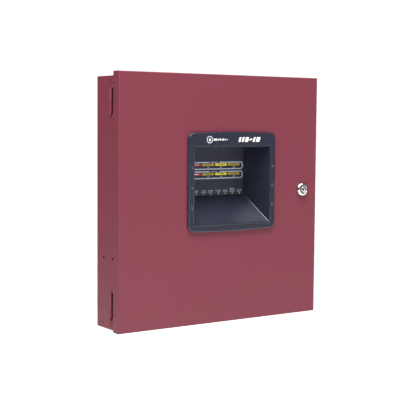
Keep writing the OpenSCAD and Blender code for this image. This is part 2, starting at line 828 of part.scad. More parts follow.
ground_at = [-160, 10];
ground_r = 2;
ground_flange = 1;
module ground_stud() {
    color("silver") {
        y_rod(ground_r, -16, back_in_y, ground_at[0], ground_at[1], 24);
        y_rod(4.5, back_in_y - ground_flange, back_in_y, ground_at[0], ground_at[1]);
    }
}

module ground_nut() {
    color([0.2, 0.55, 0.25]) difference() {
        y_rod(4.2, back_in_y - 5, back_in_y - ground_flange, ground_at[0], ground_at[1], 6);
        y_rod(ground_r + tap_gap, -20, 0, ground_at[0], ground_at[1], 24);
    }
}

// ---------- Door ----------

cutout_x = view_w / 2 + bezel_wall + cutout_clear - 0.6;
cutout_z0 = view_z0 - bezel_wall - cutout_clear;
cutout_z1 = view_z1 + bezel_wall + cutout_clear;

module door_panel() {
    color([0.55, 0.16, 0.2]) difference() {
        translate([0, flange_back_y, door_bottom + door_h / 2]) rotate([90, 0, 0])
            pan(door_w, door_h, door_flange);
        slab(bezel_x - cutout_x, bezel_x + cutout_x, front_y - 1, front_y + 4,
            cutout_z0, cutout_z1);
        for (s = [-1, 1], z = stud_zs)
            y_rod(stud_r + 0.3, front_y - 1, front_y + 4, bezel_x + s * stud_x, z, 24);
        intersection() {
            y_rod(barrel_r + 0.2, front_y - 1, front_y + 4, lock_x, lock_z);
            slab(lock_x - 20, lock_x + 20, front_y - 1, front_y + 4,
                lock_z - barrel_flat - 0.2, lock_z + barrel_flat + 0.2);
        }
    }
}

card_x = -172;
card_z = -60;
card_size = [100, 0.3, 170];
module door_label() {
    color("ivory") translate([card_x, skin_back_y, card_z]) cube(card_size);
}

// Outline of the bezel's face: straight sides, bowed top and bottom, round corners,
// shrunk all round by inset. Each corner's arc is tangent to the side and to the bow.
function bowed_outline(inset) =
    let (w = bezel_w / 2 - inset, h = bezel_h / 2 - inset, r = bezel_corner_r - inset,
        sag_r = (w * w + bezel_bow * bezel_bow) / (2 * bezel_bow),
        mid = h + bezel_bow - sag_r,
        cx = w - r, cz = mid + sqrt((sag_r - r) * (sag_r - r) - cx * cx),
        lean = asin(cx / (sag_r - r)), steps = 8,
        corner = [for (i = [0:steps]) let (a = i * (90 - lean) / steps)
            [cx + r * cos(a), cz + r * sin(a)]],
        bow = [for (i = [1:steps * 2 - 1]) let (a = lean * (1 - i / steps))
            [sag_r * sin(a), mid + sag_r * cos(a)]],
        top = concat(corner, bow, [for (i = [steps:-1:0]) [-corner[i][0], corner[i][1]]]))
    concat(top, [for (i = [len(top) - 1:-1:0]) [top[i][0], -top[i][1]]]);

module bowed_slab(inset, y0, y1) {
    translate([bezel_x, y1, bezel_z]) rotate([90, 0, 0]) linear_extrude(y1 - y0)
        polygon(bowed_outline(inset));
}

// Frustum between the face opening and the rear rim, grown by g on every side
module recess(g, y0, y1) {
    thin = 0.01;
    hull() {
        slab(bezel_x - view_w / 2 - g, bezel_x + view_w / 2 + g, y0, y0 + thin,
            view_z0 - g, view_z1 + g);
        slab(bezel_x - rear_w / 2 - g, bezel_x + rear_w / 2 + g, y1 - thin, y1,
            rear_z0 - g, rear_z1 + g);
    }
}

module bezel() {
    rim = 1.5;                                  // width of the face's chamfer
    color([0.2, 0.22, 0.27]) difference() {
        union() {
            difference() {
                union() {
                    bowed_slab(rim / 2, face_y, front_y);
                    bowed_slab(0, face_y + rim, front_y);
                }
                bowed_slab(2.2, face_y + 2.2, front_y + 1);
            }
            recess(bezel_wall, front_y - 2.5, funnel_back_y);
            for (s = [-1, 1], z = stud_zs) {
                y_rod(3.6, face_y + 1, front_y - 0.02, bezel_x + s * stud_x, z);
                y_rod(stud_r, face_y + 1, front_y + 6, bezel_x + s * stud_x, z, 24);
            }
        }
        recess(0, front_y - 2.5, funnel_back_y);
        slab(bezel_x - view_w / 2, bezel_x + view_w / 2, face_y - 1, front_y - 2.4,
            view_z0, view_z1);
        slab(bezel_x - rear_w / 2, bezel_x + rear_w / 2, funnel_back_y - 0.2, funnel_back_y + 1,
            rear_z0, rear_z1);
        for (s = [-1, 1], z = stud_zs)
            y_rod(dimple_r, face_y - 1, face_y + 0.7, bezel_x + s * stud_x, z);
    }
}

// Spring-steel push nut on each bezel stud
module bezel_push_nuts() {
    color("silver") for (s = [-1, 1], z = stud_zs) difference() {
        y_rod(3.1, skin_back_y, skin_back_y + 1, bezel_x + s * stud_x, z);
        y_rod(stud_r + 0.02, front_y - 1, front_y + 8, bezel_x + s * stud_x, z, 24);
    }
}

// ---------- Lock ----------

lock_face_r = 7.7;                              // edge of the head's flat face
lock_face_y = front_y - lock_head_h;
plug_recess = 0.6;

// Domed head, cut flat in front, and a threaded barrel with two flats, bored for the plug.
// The dome's sphere runs through the head's rim and the flat face's edge.
module lock_body() {
    centre_h = (lock_head_h * lock_head_h + lock_face_r * lock_face_r
        - lock_head_r * lock_head_r) / (2 * lock_head_h);
    dome_r = norm([lock_head_r, centre_h]);
    color("silver") difference() {
        union() {
            intersection() {
                translate([lock_x, front_y - centre_h, lock_z]) sphere(dome_r, $fn = 96);
                y_rod(lock_head_r, lock_face_y, front_y, lock_x, lock_z, 96);
            }
            intersection() {
                y_rod(barrel_r, front_y - eps, cam_front_y - 1.2, lock_x, lock_z);
                slab(lock_x - 20, lock_x + 20, front_y - 1, 0, lock_z - barrel_flat,
                    lock_z + barrel_flat);
            }
        }
        y_rod(plug_r + 0.06, front_y - 10, 0, lock_x, lock_z);
    }
}

module lock_nut() {
    color("silver") difference() {
        y_rod(12.5, skin_back_y, skin_back_y + 2.6, lock_x, lock_z, 6);
        y_rod(barrel_r + 0.05, front_y, 0, lock_x, lock_z);
    }
}

// Turning plug: a keyed face, a shoulder behind the barrel and a square end for the cam
module lock_plug() {
    face = lock_face_y + plug_recess;
    color("gainsboro") difference() {
        union() {
            y_rod(plug_r, face, cam_front_y - 0.6, lock_x, lock_z);
            y_rod(plug_r + 1.2, cam_front_y - 0.9, cam_front_y, lock_x, lock_z);
            slab(lock_x - 3, lock_x + 3, cam_front_y - eps, cam_front_y + cam_t, lock_z - 3,
                lock_z + 3);
        }
        slab(lock_x - 4, lock_x + 4, face - 1, face + 9, lock_z - 0.7, lock_z + 0.7);
        slab(lock_x - 4, lock_x - 2, face - 1, face + 9, lock_z - 1.4, lock_z + 1.4);
        y_rod(1.6, cam_front_y - 4, cam_front_y + 5, lock_x, lock_z, 24);
    }
}

// Flat tongue; at rest it points down, clear of the strike
module lock_cam() {
    color("silver") difference() {
        union() {
            y_rod(7, cam_front_y, cam_front_y + cam_t, lock_x, lock_z);
            slab(lock_x - 7, lock_x + 7, cam_front_y, cam_front_y + cam_t, lock_z - cam_reach,
                lock_z);
        }
        slab(lock_x - 3.05, lock_x + 3.05, cam_front_y - 1, cam_front_y + cam_t + 1,
            lock_z - 3.05, lock_z + 3.05);
    }
}

module cam_screw() {
    seat = cam_front_y + cam_t;
    color("silver") difference() {
        union() {
            y_rod(5, seat, seat + 2.2, lock_x, lock_z);
            y_rod(1.55, cam_front_y - 3.5, seat + eps, lock_x, lock_z, 24);
        }
        slab(lock_x - 6, lock_x + 6, seat + 1.2, seat + 3, lock_z - 0.6, lock_z + 0.6);
    }
}

backbox();
knockout_blanks();
lock_strike();
box_hinge_leaves();
hinge_pins();
hinge_washers();
chassis_plate();
chassis_studs();
chassis_nuts();
main_board();
board_standoffs();
board_screws();
display_plate();
display_spacers();
display_screws();
alarm_leds();
yellow_leds();
power_led();
switch_bodies();
piezo_sounder();
microcontroller();
relays();
capacitors();
heat_sink();
fuse_holders();
fuses();
option_header();
programming_jumpers();
zone_terminal_block();
zone_terminal_screws();
power_terminal_block();
power_terminal_screws();
transformer_core();
transformer_coil();
transformer_bracket();
transformer_screws();
battery_left();
battery_right();
battery_terminals();
battery_link_lead();
battery_red_lead();
battery_black_lead();
battery_socket();
transformer_leads();
ground_stud();
ground_nut();
door_panel();
door_hinge_leaves();
bezel();
bezel_push_nuts();
lock_body();
lock_nut();
door_label();
lock_plug();
lock_cam();
cam_screw();
acknowledge_button();
silence_button();
reset_button();
drill_button();
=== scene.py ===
"""Looks of a wall-mounted fire alarm control panel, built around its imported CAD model.

Units are metres, in the row frame: X to the right, Y into the wall, Z up. The door faces -Y.
"""
import json
import math
import random

import bmesh
import bpy
from mathutils import Matrix, Vector


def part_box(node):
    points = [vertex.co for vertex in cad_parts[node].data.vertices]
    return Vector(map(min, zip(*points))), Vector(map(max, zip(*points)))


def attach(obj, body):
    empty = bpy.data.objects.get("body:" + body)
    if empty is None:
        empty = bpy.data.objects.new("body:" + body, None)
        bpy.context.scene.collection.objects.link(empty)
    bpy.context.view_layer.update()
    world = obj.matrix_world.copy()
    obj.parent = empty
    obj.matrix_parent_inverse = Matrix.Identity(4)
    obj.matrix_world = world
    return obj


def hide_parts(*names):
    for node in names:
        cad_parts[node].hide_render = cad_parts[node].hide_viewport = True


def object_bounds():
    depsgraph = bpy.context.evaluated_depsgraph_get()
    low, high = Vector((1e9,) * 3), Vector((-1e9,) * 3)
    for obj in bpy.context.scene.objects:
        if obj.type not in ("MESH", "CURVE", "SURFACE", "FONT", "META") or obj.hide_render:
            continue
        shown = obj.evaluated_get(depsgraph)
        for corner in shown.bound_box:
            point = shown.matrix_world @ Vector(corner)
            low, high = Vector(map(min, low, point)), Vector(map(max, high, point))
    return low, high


MM = 0.001
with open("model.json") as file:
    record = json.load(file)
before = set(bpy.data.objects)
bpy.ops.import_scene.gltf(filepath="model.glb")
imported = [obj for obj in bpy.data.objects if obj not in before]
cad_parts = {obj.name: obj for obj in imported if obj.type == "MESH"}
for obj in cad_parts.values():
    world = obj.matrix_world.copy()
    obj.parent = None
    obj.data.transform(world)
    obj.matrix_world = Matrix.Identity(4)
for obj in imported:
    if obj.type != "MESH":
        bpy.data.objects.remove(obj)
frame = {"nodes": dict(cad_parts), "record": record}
cad_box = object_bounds()
nodes = frame["nodes"]
scene = bpy.context.scene


# ---------- Node helpers ----------


class Graph:
    """A material's node tree, with short calls for the nodes that the materials share."""

    def __init__(self, name):
        self.material = bpy.data.materials.new(name)
        self.material.use_nodes = True
        self.tree = self.material.node_tree
        self.shader = self.tree.nodes["Principled BSDF"]
        self.place = self.add("ShaderNodeTexCoord").outputs["Object"]

    def add(self, kind, sockets=None, **settings):
        """A new node with its settings, and with sockets set by their names."""
        node = self.tree.nodes.new(kind)
        for key, value in settings.items():
            setattr(node, key, value)
        for socket, value in (sockets or {}).items():
            node.inputs[socket].default_value = value
        return node

    def link(self, a, b):
        self.tree.links.new(a, b)

    def stretched(self, scale):
        node = self.add("ShaderNodeMapping", {"Scale": scale})
        self.link(self.place, node.inputs["Vector"])
        return node.outputs["Vector"]

    def noise(self, scale, detail=3.0, roughness=0.5, vector=None):
        node = self.add("ShaderNodeTexNoise",
                        {"Scale": scale, "Detail": detail, "Roughness": roughness})
        self.link(vector or self.place, node.inputs["Vector"])
        return node.outputs["Fac"]

    def voronoi(self, scale, feature="F1", vector=None):
        node = self.add("ShaderNodeTexVoronoi", {"Scale": scale}, feature=feature)
        self.link(vector or self.place, node.inputs["Vector"])
        return node.outputs["Distance"]

    def wave(self, scale, direction, distortion=0.0, profile="SIN"):
        node = self.add("ShaderNodeTexWave", {"Scale": scale, "Distortion": distortion},
                        bands_direction=direction, wave_profile=profile)
        self.link(self.place, node.inputs["Vector"])
        return node.outputs["Fac"]

    def span(self, value, low, high, out_low=0.0, out_high=1.0):
        """value moved from low..high to out_low..out_high."""
        node = self.add("ShaderNodeMapRange", {"From Min": low, "From Max": high,
                                               "To Min": out_low, "To Max": out_high})
        self.link(value, node.inputs["Value"])
        return node.outputs["Result"]

    def mix(self, factor, a, b):
        """Colour a where factor is 0, b where it is 1; each is a colour or a socket."""
        node = self.add("ShaderNodeMix", data_type="RGBA")
        self.link(factor, node.inputs[0])
        for socket, colour in ((node.inputs[6], a), (node.inputs[7], b)):
            if isinstance(colour, (tuple, list)):
                socket.default_value = (*colour[:3], 1.0)
            else:
                self.link(colour, socket)
        return node.outputs[2]

    def blend(self, value, low, high, share, a, b):
        """Colour a where value is low, moving by share towards b where it is high."""
        return self.mix(self.span(value, low, high, 0, share), a, b)

    def bump(self, height, depth, strength=1.0):
        node = self.add("ShaderNodeBump", {"Distance": depth, "Strength": strength})
        self.link(height, node.inputs["Height"])
        last = self.shader.inputs["Normal"]
        if last.links:
            self.link(last.links[0].from_socket, node.inputs["Normal"])
        self.link(node.outputs["Normal"], last)

    def edges(self):
        """1 along convex edges, 0 on flats: the mask of the painted edge highlight."""
        return self.span(self.add("ShaderNodeNewGeometry").outputs["Pointiness"], 0.51, 0.56)

    def colour(self, value):
        self.link(value, self.shader.inputs["Base Color"])

    def roughness(self, value, smooth, rough, low=0.2, high=0.8):
        """Roughness from smooth, where value is low, to rough, where it is high."""
        self.link(self.span(value, low, high, smooth, rough), self.shader.inputs["Roughness"])

    def set(self, **sockets):
        for name, value in sockets.items():
            self.shader.inputs[name.replace("_", " ")].default_value = value


def shade(colour, factor):
    return tuple(min(1.0, c * factor) for c in colour)


# ---------- Materials ----------


def powder_coat(name, colour):
    """Satin baked enamel with a fine orange peel and paler grains."""
    g = Graph(name)
    broad = g.noise(4, 2)
    grain = g.noise(1500, 2)
    tone = g.blend(broad, 0.3, 0.7, 1, shade(colour, 0.98), shade(colour, 1.02))
    tone = g.blend(grain, 0.56, 0.8, 0.26, tone, shade(colour, 1.6))
    tone = g.blend(grain, 0.44, 0.2, 0.4, tone, shade(colour, 0.55))
    g.colour(tone)
    g.roughness(grain, 0.40, 0.50)
    g.bump(g.noise(700, 3, 0.55), 0.00006, 0.5)
    g.bump(grain, 0.00002, 0.6)
    g.set(Specular_IOR_Level=0.33, IOR=1.5)
    return g.material


def zinc_plate(name, colour=(0.60, 0.61, 0.60), warm=(0.66, 0.60, 0.44)):
    """Rolled steel under bright zinc: faint rolling lines, cloudy passivation."""
    g = Graph(name)
    lines = g.noise(60, 3, 0.6, g.stretched((1, 1, 40)))
    cloud = g.noise(55, 4, 0.6)
    tone = g.blend(cloud, 0.4, 0.75, 0.55, colour, warm)
    tone = g.blend(lines, 0.3, 0.7, 0.3, tone, shade(colour, 0.7))
    g.colour(tone)
    g.roughness(lines, 0.26, 0.46)
    g.bump(lines, 0.00003, 0.4)
    g.set(Metallic=1.0)
    return g.material


def chrome(name):
    """Polished chrome with a breath of haze and fine wiping scratches."""
    g = Graph(name)
    haze = g.noise(240, 4, 0.6)
    scratches = g.noise(900, 2, 0.5, g.stretched((1, 1, 14)))
    g.colour(g.blend(haze, 0.35, 0.7, 1, (0.60, 0.575, 0.555), (0.72, 0.70, 0.68)))
    g.roughness(haze, 0.14, 0.24, 0.3, 0.8)
    g.bump(scratches, 0.000006, 0.35)
    g.set(Metallic=1.0)
    return g.material


def turned_metal(name, colour):
    """Machined metal with tool rings across its axis."""
    g = Graph(name)
    rings = g.wave(900, "Y", 2.0)
    cloud = g.noise(120, 3)
    g.colour(g.blend(cloud, 0.3, 0.7, 1, shade(colour, 0.8), colour))
    g.roughness(rings, 0.24, 0.42, 0, 1)
    g.bump(rings, 0.00002, 0.3)
    g.set(Metallic=1.0)
    return g.material


def moulded(name, colour, rough=0.45, grain=2200.0, depth=0.00003, edge=1.35, uneven=1.0):
    """Injection-moulded plastic: spark-eroded grain, slow tone drift, and a painted highlight that
    makes convex edges paler by the factor edge.
    """
    g = Graph(name)
    drift = g.noise(25, 3)
    grit = g.noise(grain, 2)
    tone = g.blend(drift, 0.3, 0.7, 1, shade(colour, 1 - 0.08 * uneven),
                 shade(colour, 1 + 0.08 * uneven))
    tone = g.blend(grit, 0.5, 0.8, 0.3 * uneven, tone, shade(colour, 1.35))
    # Painted highlight: convex edges lightened towards shade(colour, edge).
    if edge > 1:
        tone = g.mix(g.edges(), tone, shade(colour, edge))
    g.colour(tone)
    g.roughness(drift, rough - 0.06 * uneven, rough + 0.06 * uneven)
    g.bump(grit, depth, 0.6)
    return g.material


def matt_rubber(name):
    """Near-black matt surface with next to no shine: painted shade for the side wall's small holes.
    """
    g = Graph(name)
    grain = g.noise(900, 2)
    g.colour(g.blend(grain, 0.3, 0.7, 1, (0.004, 0.004, 0.005), (0.010, 0.010, 0.011)))
    g.roughness(grain, 0.8, 0.95)
    g.bump(grain, 0.00002, 0.5)
    g.set(Specular_IOR_Level=0.1)
    return g.material


def printed_film(name, colour):
    """Dark overlay film: fine matt texture with a soft sheen."""
    g = Graph(name)
    grit = g.voronoi(3200)
    cloud = g.noise(30, 3)
    g.colour(g.blend(cloud, 0.3, 0.7, 1, shade(colour, 0.9), shade(colour, 1.12)))
    g.roughness(cloud, 0.36, 0.46)
    g.bump(grit, 0.00002, 0.4)
    return g.material


def ink(name, colour, rough=0.5):
    """Screen-printed ink: slightly uneven cover with pinholes."""
    g = Graph(name)
    cover = g.noise(1400, 3, 0.6)
    drift = g.noise(80, 2)
    tone = g.blend(drift, 0.3, 0.7, 1, shade(colour, 0.94), shade(colour, 1.05))
    g.colour(g.blend(cover, 0.62, 0.8, 0.5, tone, shade(colour, 0.7)))
    g.roughness(cover, rough - 0.06, rough + 0.06)
    g.bump(cover, 0.00001, 0.4)
    return g.material


def lens(name, colour):
    """Tinted diffused indicator lens, unlit, with a cloudy core."""
    g = Graph(name)
    core = g.noise(900, 2)
    g.colour(g.blend(core, 0.3, 0.7, 1, shade(colour, 0.8), shade(colour, 1.2)))
    g.roughness(core, 0.12, 0.22)
    g.set(Transmission_Weight=0.35, IOR=1.5, Subsurface_Weight=0.2,
          Subsurface_Radius=(0.002, 0.001, 0.001))
    return g.material


def circuit_board(name):
    """Green solder mask over copper tracks, with tinned vias."""
    g = Graph(name)
    mask, track, bare = (0.012, 0.11, 0.045), (0.03, 0.22, 0.09), (0.55, 0.53, 0.45)
    flat = g.stretched((1, 0, 1))
    cells = g.voronoi(150, "DISTANCE_TO_EDGE", flat)
    lanes = g.add("ShaderNodeTexBrick", {
        "Scale": 60, "Mortar Size": 0.05, "Color1": (0, 0, 0, 1), "Color2": (0.15, 0.15, 0.15, 1),
        "Mortar": (1, 1, 1, 1)})
    turn = g.add("ShaderNodeMapping", {"Rotation": (math.radians(90), 0, 0)})
    g.link(g.place, turn.inputs["Vector"])
    g.link(turn.outputs["Vector"], lanes.inputs["Vector"])
    tracks = g.span(cells, 0.06, 0.03)
    tone = g.blend(g.noise(45, 3), 0.3, 0.7, 1, shade(mask, 0.85), shade(mask, 1.15))
    tone = g.mix(tracks, tone, track)
    tone = g.mix(lanes.outputs["Color"], tone, shade(track, 1.1))
    g.colour(g.blend(g.voronoi(330, vector=flat), 0.16, 0.13, 1, tone, bare))
    g.roughness(tracks, 0.32, 0.24, 0, 1)
    g.bump(tracks, 0.00003, 0.5)
    return g.material


def laminations(name):
    """Varnished transformer iron: thin sheets stacked along Y."""
    g = Graph(name)
    sheets = g.wave(700, "Y", 0.6)
    rust = g.noise(90, 4, 0.65)
    tone = g.blend(sheets, 0.2, 0.8, 1, (0.045, 0.045, 0.05), (0.16, 0.16, 0.165))
    g.colour(g.blend(rust, 0.62, 0.8, 0.6, tone, (0.16, 0.075, 0.035)))
    g.roughness(rust, 0.35, 0.6)
    g.bump(sheets, 0.00015, 0.8)
    g.set(Metallic=0.6)
    return g.material


def tape_wrap(name, colour):
    """Overlapped turns of winding tape."""
    g = Graph(name)
    turns = g.wave(45, "Z", 0.8, "SAW")
    fibre = g.noise(800, 2, 0.5, g.stretched((1, 1, 8)))
    tone = g.blend(turns, 0.85, 1.0, 0.6, colour, shade(colour, 0.5))
    g.colour(g.blend(fibre, 0.4, 0.8, 0.35, tone, shade(colour, 1.25)))
    g.roughness(fibre, 0.3, 0.42)
    g.bump(turns, 0.0002, 0.5)
    return g.material


def clear_glass(name):
    """Fuse tube: clear glass, faintly clouded inside."""
    g = Graph(name)
    cloud = g.noise(300, 3)
    g.colour(g.blend(cloud, 0.3, 0.7, 1, (0.84, 0.88, 0.88), (0.95, 0.97, 0.97)))
    g.roughness(cloud, 0.04, 0.12)
    g.set(Transmission_Weight=0.9, IOR=1.5)
    return g.material


def card(name, colour):
    """Coated card with faint fibres and greyer stains."""
    g = Graph(name)
    fibre = g.noise(500, 4, 0.6, g.stretched((1, 1, 3)))
    stain = g.noise(14, 3)
    tone = g.blend(stain, 0.45, 0.8, 0.35, colour, shade(colour, 0.84))
    g.colour(g.blend(fibre, 0.5, 0.8, 0.25, tone, shade(colour, 0.88)))
    g.roughness(fibre, 0.5, 0.65)
    g.bump(fibre, 0.00002, 0.4)
    return g.material


def studio_paper(name):
    """Seamless white paper, faintly glowing, more so away from the object."""
    g = Graph(name)
    cloud = g.noise(6, 4)
    g.colour(g.blend(cloud, 0.3, 0.7, 1, (0.93, 0.93, 0.93), (0.96, 0.96, 0.96)))
    g.roughness(cloud, 0.8, 0.9)
    away = g.add("ShaderNodeVectorMath", operation="LENGTH")
    g.link(g.place, away.inputs[0])
    g.link(g.span(away.outputs["Value"], 0.9, 1.7, 0.6, 1.0), g.shader.inputs["Emission Strength"])
    g.set(Specular_IOR_Level=0.0, Emission_Color=(1, 1, 1, 1))
    return g.material


RED = (0.157, 0.0285, 0.0435)
SLATE = (0.0155, 0.0168, 0.0305)
# In the moulded rows, the sixth value lightens convex edges as a painted highlight; 1.0 leaves them
# alone.
RECIPES = {
    "red_enamel": (powder_coat, RED),
    "zinc_steel": (zinc_plate,),
    "lock_chrome": (chrome,),
    "bezel_plastic": (moulded, SLATE, 0.28, 1800, 0.000008, 1.0, 0.25),
    # Paler than the bezel: partly a painted highlight for the studs and ticks at the dimples.
    "stud_plastic": (moulded, shade(SLATE, 3.5), 0.2, 1200, 0.00001),
    "display_film": (printed_film, (0.0210, 0.0224, 0.0390)),
    "circuit_board": (circuit_board,),
    "black_plastic": (moulded, (0.018, 0.018, 0.02)),
    "white_nylon": (moulded, (0.62, 0.61, 0.56), 0.4, 1200),
    "relay_case": (moulded, (0.56, 0.53, 0.42), 0.35, 1200),
    "blue_sleeve": (moulded, (0.02, 0.04, 0.16), 0.2, 500, 0.00002),
    "red_lens": (lens, (0.30, 0.24, 0.24)),
    "yellow_lens": (lens, (0.60, 0.60, 0.56)),
    "green_lens": (lens, (0.52, 0.60, 0.54)),
    "brass": (turned_metal, (0.68, 0.50, 0.20)),
    "sink_aluminium": (moulded, (0.03, 0.03, 0.033), 0.4, 900, 0.00004, 3.0),
    "fuse_glass": (clear_glass,),
    "battery_case": (moulded, (0.030, 0.032, 0.038), 0.5, 1500, 0.00006, 1.6),
    "core_steel": (laminations,),
    "coil_wrap": (tape_wrap, (0.50, 0.33, 0.05)),
    "red_insulation": (moulded, (0.36, 0.012, 0.012), 0.35, 600),
    "black_insulation": (moulded, (0.014, 0.014, 0.014), 0.35, 600),
    "grey_insulation": (moulded, (0.38, 0.38, 0.38), 0.35, 600),
    "button_plastic": (moulded, (0.50, 0.51, 0.52), 0.35, 1500),
    "green_plate": (zinc_plate, (0.10, 0.42, 0.18), (0.22, 0.50, 0.16)),
    "matt_rubber": (matt_rubber,),
    "ceramic": (moulded, (0.55, 0.27, 0.05), 0.3, 700),
    "resistor_body": (moulded, (0.52, 0.36, 0.20), 0.35, 900),
    "paper_label": (card, (0.78, 0.76, 0.68)),
    "silver_ink": (ink, (0.52, 0.57, 0.70)),
    "grey_ink": (ink, (0.42, 0.45, 0.54)),
    "white_ink": (ink, (0.86, 0.87, 0.88)),
    "red_ink": (ink, (0.55, 0.040, 0.075)),
    "yellow_ink": (ink, (0.95, 0.78, 0.05)),
    "olive_ink": (ink, (0.47, 0.39, 0.045)),
    "black_ink": (ink, (0.02, 0.02, 0.022)),
    "band_brown": (ink, (0.14, 0.045, 0.015)),
    "label_ink": (ink, (0.10, 0.16, 0.30)),
    "card_ink": (ink, (0.05, 0.05, 0.07)),
    # Painted shade: near black, standing in for the shadows of the lower rail's raised bars.
    "faint_ink": (ink, (0.004, 0.004, 0.006), 0.55),
    "silk_ink": (ink, (0.72, 0.74, 0.70)),
}
MATERIALS = {name: make(name, *values) for name, (make, *values) in RECIPES.items()}


# ---------- Mesh helpers ----------


def circle(centre, axis, start, radius, sides):
    """Circle about axis through centre; start is a direction that places its first point."""
    across = axis.cross(Vector(start)).normalized()
    up = axis.cross(across)
    return [Vector(centre) + radius * (math.cos(math.tau * k / sides) * across
                                       + math.sin(math.tau * k / sides) * up)
            for k in range(sides)]


class Shape:
    """Vertices and faces gathered before they become one piece."""

    def __init__(self):
        self.verts = []
        self.faces = []

    def loft(self, loops, cap_first=False, cap_last=False, ring=False):
        """Joins closed loops of equal length; ring joins the last one to the first."""
        base = len(self.verts)
        count = len(loops[0])
        for loop in loops:
            self.verts.extend(Vector(p) for p in loop)
        spans = len(loops) if ring else len(loops) - 1
        for i in range(spans):
            a, b = base + i * count, base + (i + 1) % len(loops) * count
            for k in range(count):
                j = (k + 1) % count
                self.faces.append((a + k, a + j, b + j, b + k))
        if cap_first:
            self.faces.append(tuple(base + k for k in reversed(range(count))))
        if cap_last:
            last = base + (len(loops) - 1) * count
            self.faces.append(tuple(last + k for k in range(count)))
        return self

    def pad(self, x, z, w, h, y0, y1, r=None, bevel=None):
        """Rounded block centred on x, z, from its back y1 to its front y0, front edge bevelled."""
        r = min(w, h) * 0.5 - 1e-6 if r is None else min(r, min(w, h) * 0.499)
        bevel = min(abs(y1 - y0) * 0.4, r * 0.5) if bevel is None else bevel
        loops = [rounded_loop(x, z, w / 2, h / 2, r, y1)]
        for angle in (0, 30, 60, 90):
            cut = bevel * (1 - math.cos(math.radians(angle)))
            rise = bevel * math.sin(math.radians(angle))
            loops.append(rounded_loop(x, z, w / 2 - cut, h / 2 - cut, max(r - cut, 1e-6),
                                      y0 + bevel - rise))
        return self.loft(loops, True, True)

    def lathe(self, profile, centre, y, sides, ring=False):
        """Profile of (radius, depth) in millimetres, turned about a line along Y that passes
        centre (x, z); depth counts from y, and ring joins the profile's ends."""
        loops = [[(centre[0] + radius * MM * math.cos(math.tau * k / sides), y + depth * MM,
                   centre[1] + radius * MM * math.sin(math.tau * k / sides))
                  for k in range(sides)] for radius, depth in profile]
        return self.loft(loops, not ring, not ring, ring)

    def turned(self, profile, origin, axis, sides=20):
        """Profile of (radius, distance) in millimetres, turned about a line from origin."""
        axis = Vector(axis)
        loops = [circle(Vector(origin) + axis * along * MM, axis, (0.3, 0.5, 0.8), radius * MM,
                        sides) for radius, along in profile]
        return self.loft(loops, True, True)

    def tube(self, points, radius, sides=6):
        """Round bead along points."""
        loops = []
        for i, p in enumerate(points):
            ahead = points[min(i + 1, len(points) - 1)]
            behind = points[max(i - 1, 0)]
            along = (Vector(ahead) - Vector(behind)).normalized()
            loops.append(circle(p, along, (0.31, 0.93, 0.2), radius, sides))
        return self.loft(loops, True, True)

    def piece(self, name, material, body, slot=None, smooth=35.0):
        """Makes the piece, shaded smooth up to an angle, and has it ride on its body. The argument
        slot is not used."""
        mesh = bpy.data.meshes.new(name)
        mesh.from_pydata([tuple(v) for v in self.verts], [], self.faces)
        bm = bmesh.new()
        bm.from_mesh(mesh)
        bmesh.ops.remove_doubles(bm, verts=bm.verts, dist=1e-7)
        bmesh.ops.recalc_face_normals(bm, faces=bm.faces)
        mark_sharp(bm, smooth)
        bm.to_mesh(mesh)
        bm.free()
        obj = bpy.data.objects.new(name, mesh)
        scene.collection.objects.link(obj)
        obj.data.materials.append(MATERIALS[material])
        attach(obj, body)
        return obj


def mark_sharp(bm, angle):
    """Smooth shading, broken where faces meet at more than angle degrees."""
    for face in bm.faces:
        face.smooth = True
    for edge in bm.edges:
        if len(edge.link_faces) == 2:
            edge.smooth = edge.calc_face_angle(0.0) < math.radians(angle)


def rounded_loop(cx, cz, half_w, half_h, r, y, bow=0.0, corner=6, edge=10):
    """Closed loop in the plane y: a rectangle with round corners whose top and bottom edges
    rise by bow in their middles."""
    points = []

    def lift(x, side):
        return side * bow * (1 - (x / half_w) ** 2)

    for sx, sz, start in ((1, 1, 0), (-1, 1, 90), (-1, -1, 180), (1, -1, 270)):
        for k in range(corner + 1):
            a = math.radians(start + 90 * k / corner)
            x = sx * (half_w - r) + r * math.cos(a)
            points.append((x, sz * (half_h - r) + r * math.sin(a) + lift(x, sz)))
        if start in (0, 180):
            for k in range(1, edge):
                x = sx * (half_w - r) * (1 - 2 * k / edge)
                points.append((x, sz * half_h + lift(x, sz)))
        else:
            for k in range(1, edge):
                points.append((sx * half_w, sz * (half_h - r) * (1 - 2 * k / edge)))
    return [(cx + x, y, cz + z) for x, z in points]


def weight_normals(obj, keep_sharp):
    """Shades flats flat and leaves the bend in the light to the small faces between them."""
    normals = obj.modifiers.new("normals", "WEIGHTED_NORMAL")
    normals.weight = 100
    normals.keep_sharp = keep_sharp


def dress(name, material=None, bevel=None):
    """Gives a CAD node its material and, where asked, rounds its sharp edges."""
    obj = nodes[name]
    slot = next(s["material_slot"] for s in frame["record"]["subparts"] if s["node"] == name)
    obj.data.materials.clear()
    obj.data.materials.append(material or MATERIALS[slot])
    if bevel:
        weld = obj.modifiers.new("weld", "WELD")
        weld.merge_threshold = 2e-6
        merge = obj.modifiers.new("merge_flats", "DECIMATE")
        merge.decimate_type = "DISSOLVE"
        merge.angle_limit = math.radians(0.5)
        round_edges = obj.modifiers.new("round_edges", "BEVEL")
        round_edges.width = bevel
        round_edges.segments = 2
        round_edges.limit_method = "ANGLE"
        round_edges.angle_limit = math.radians(40)
        weight_normals(obj, False)


# ---------- CAD nodes ----------

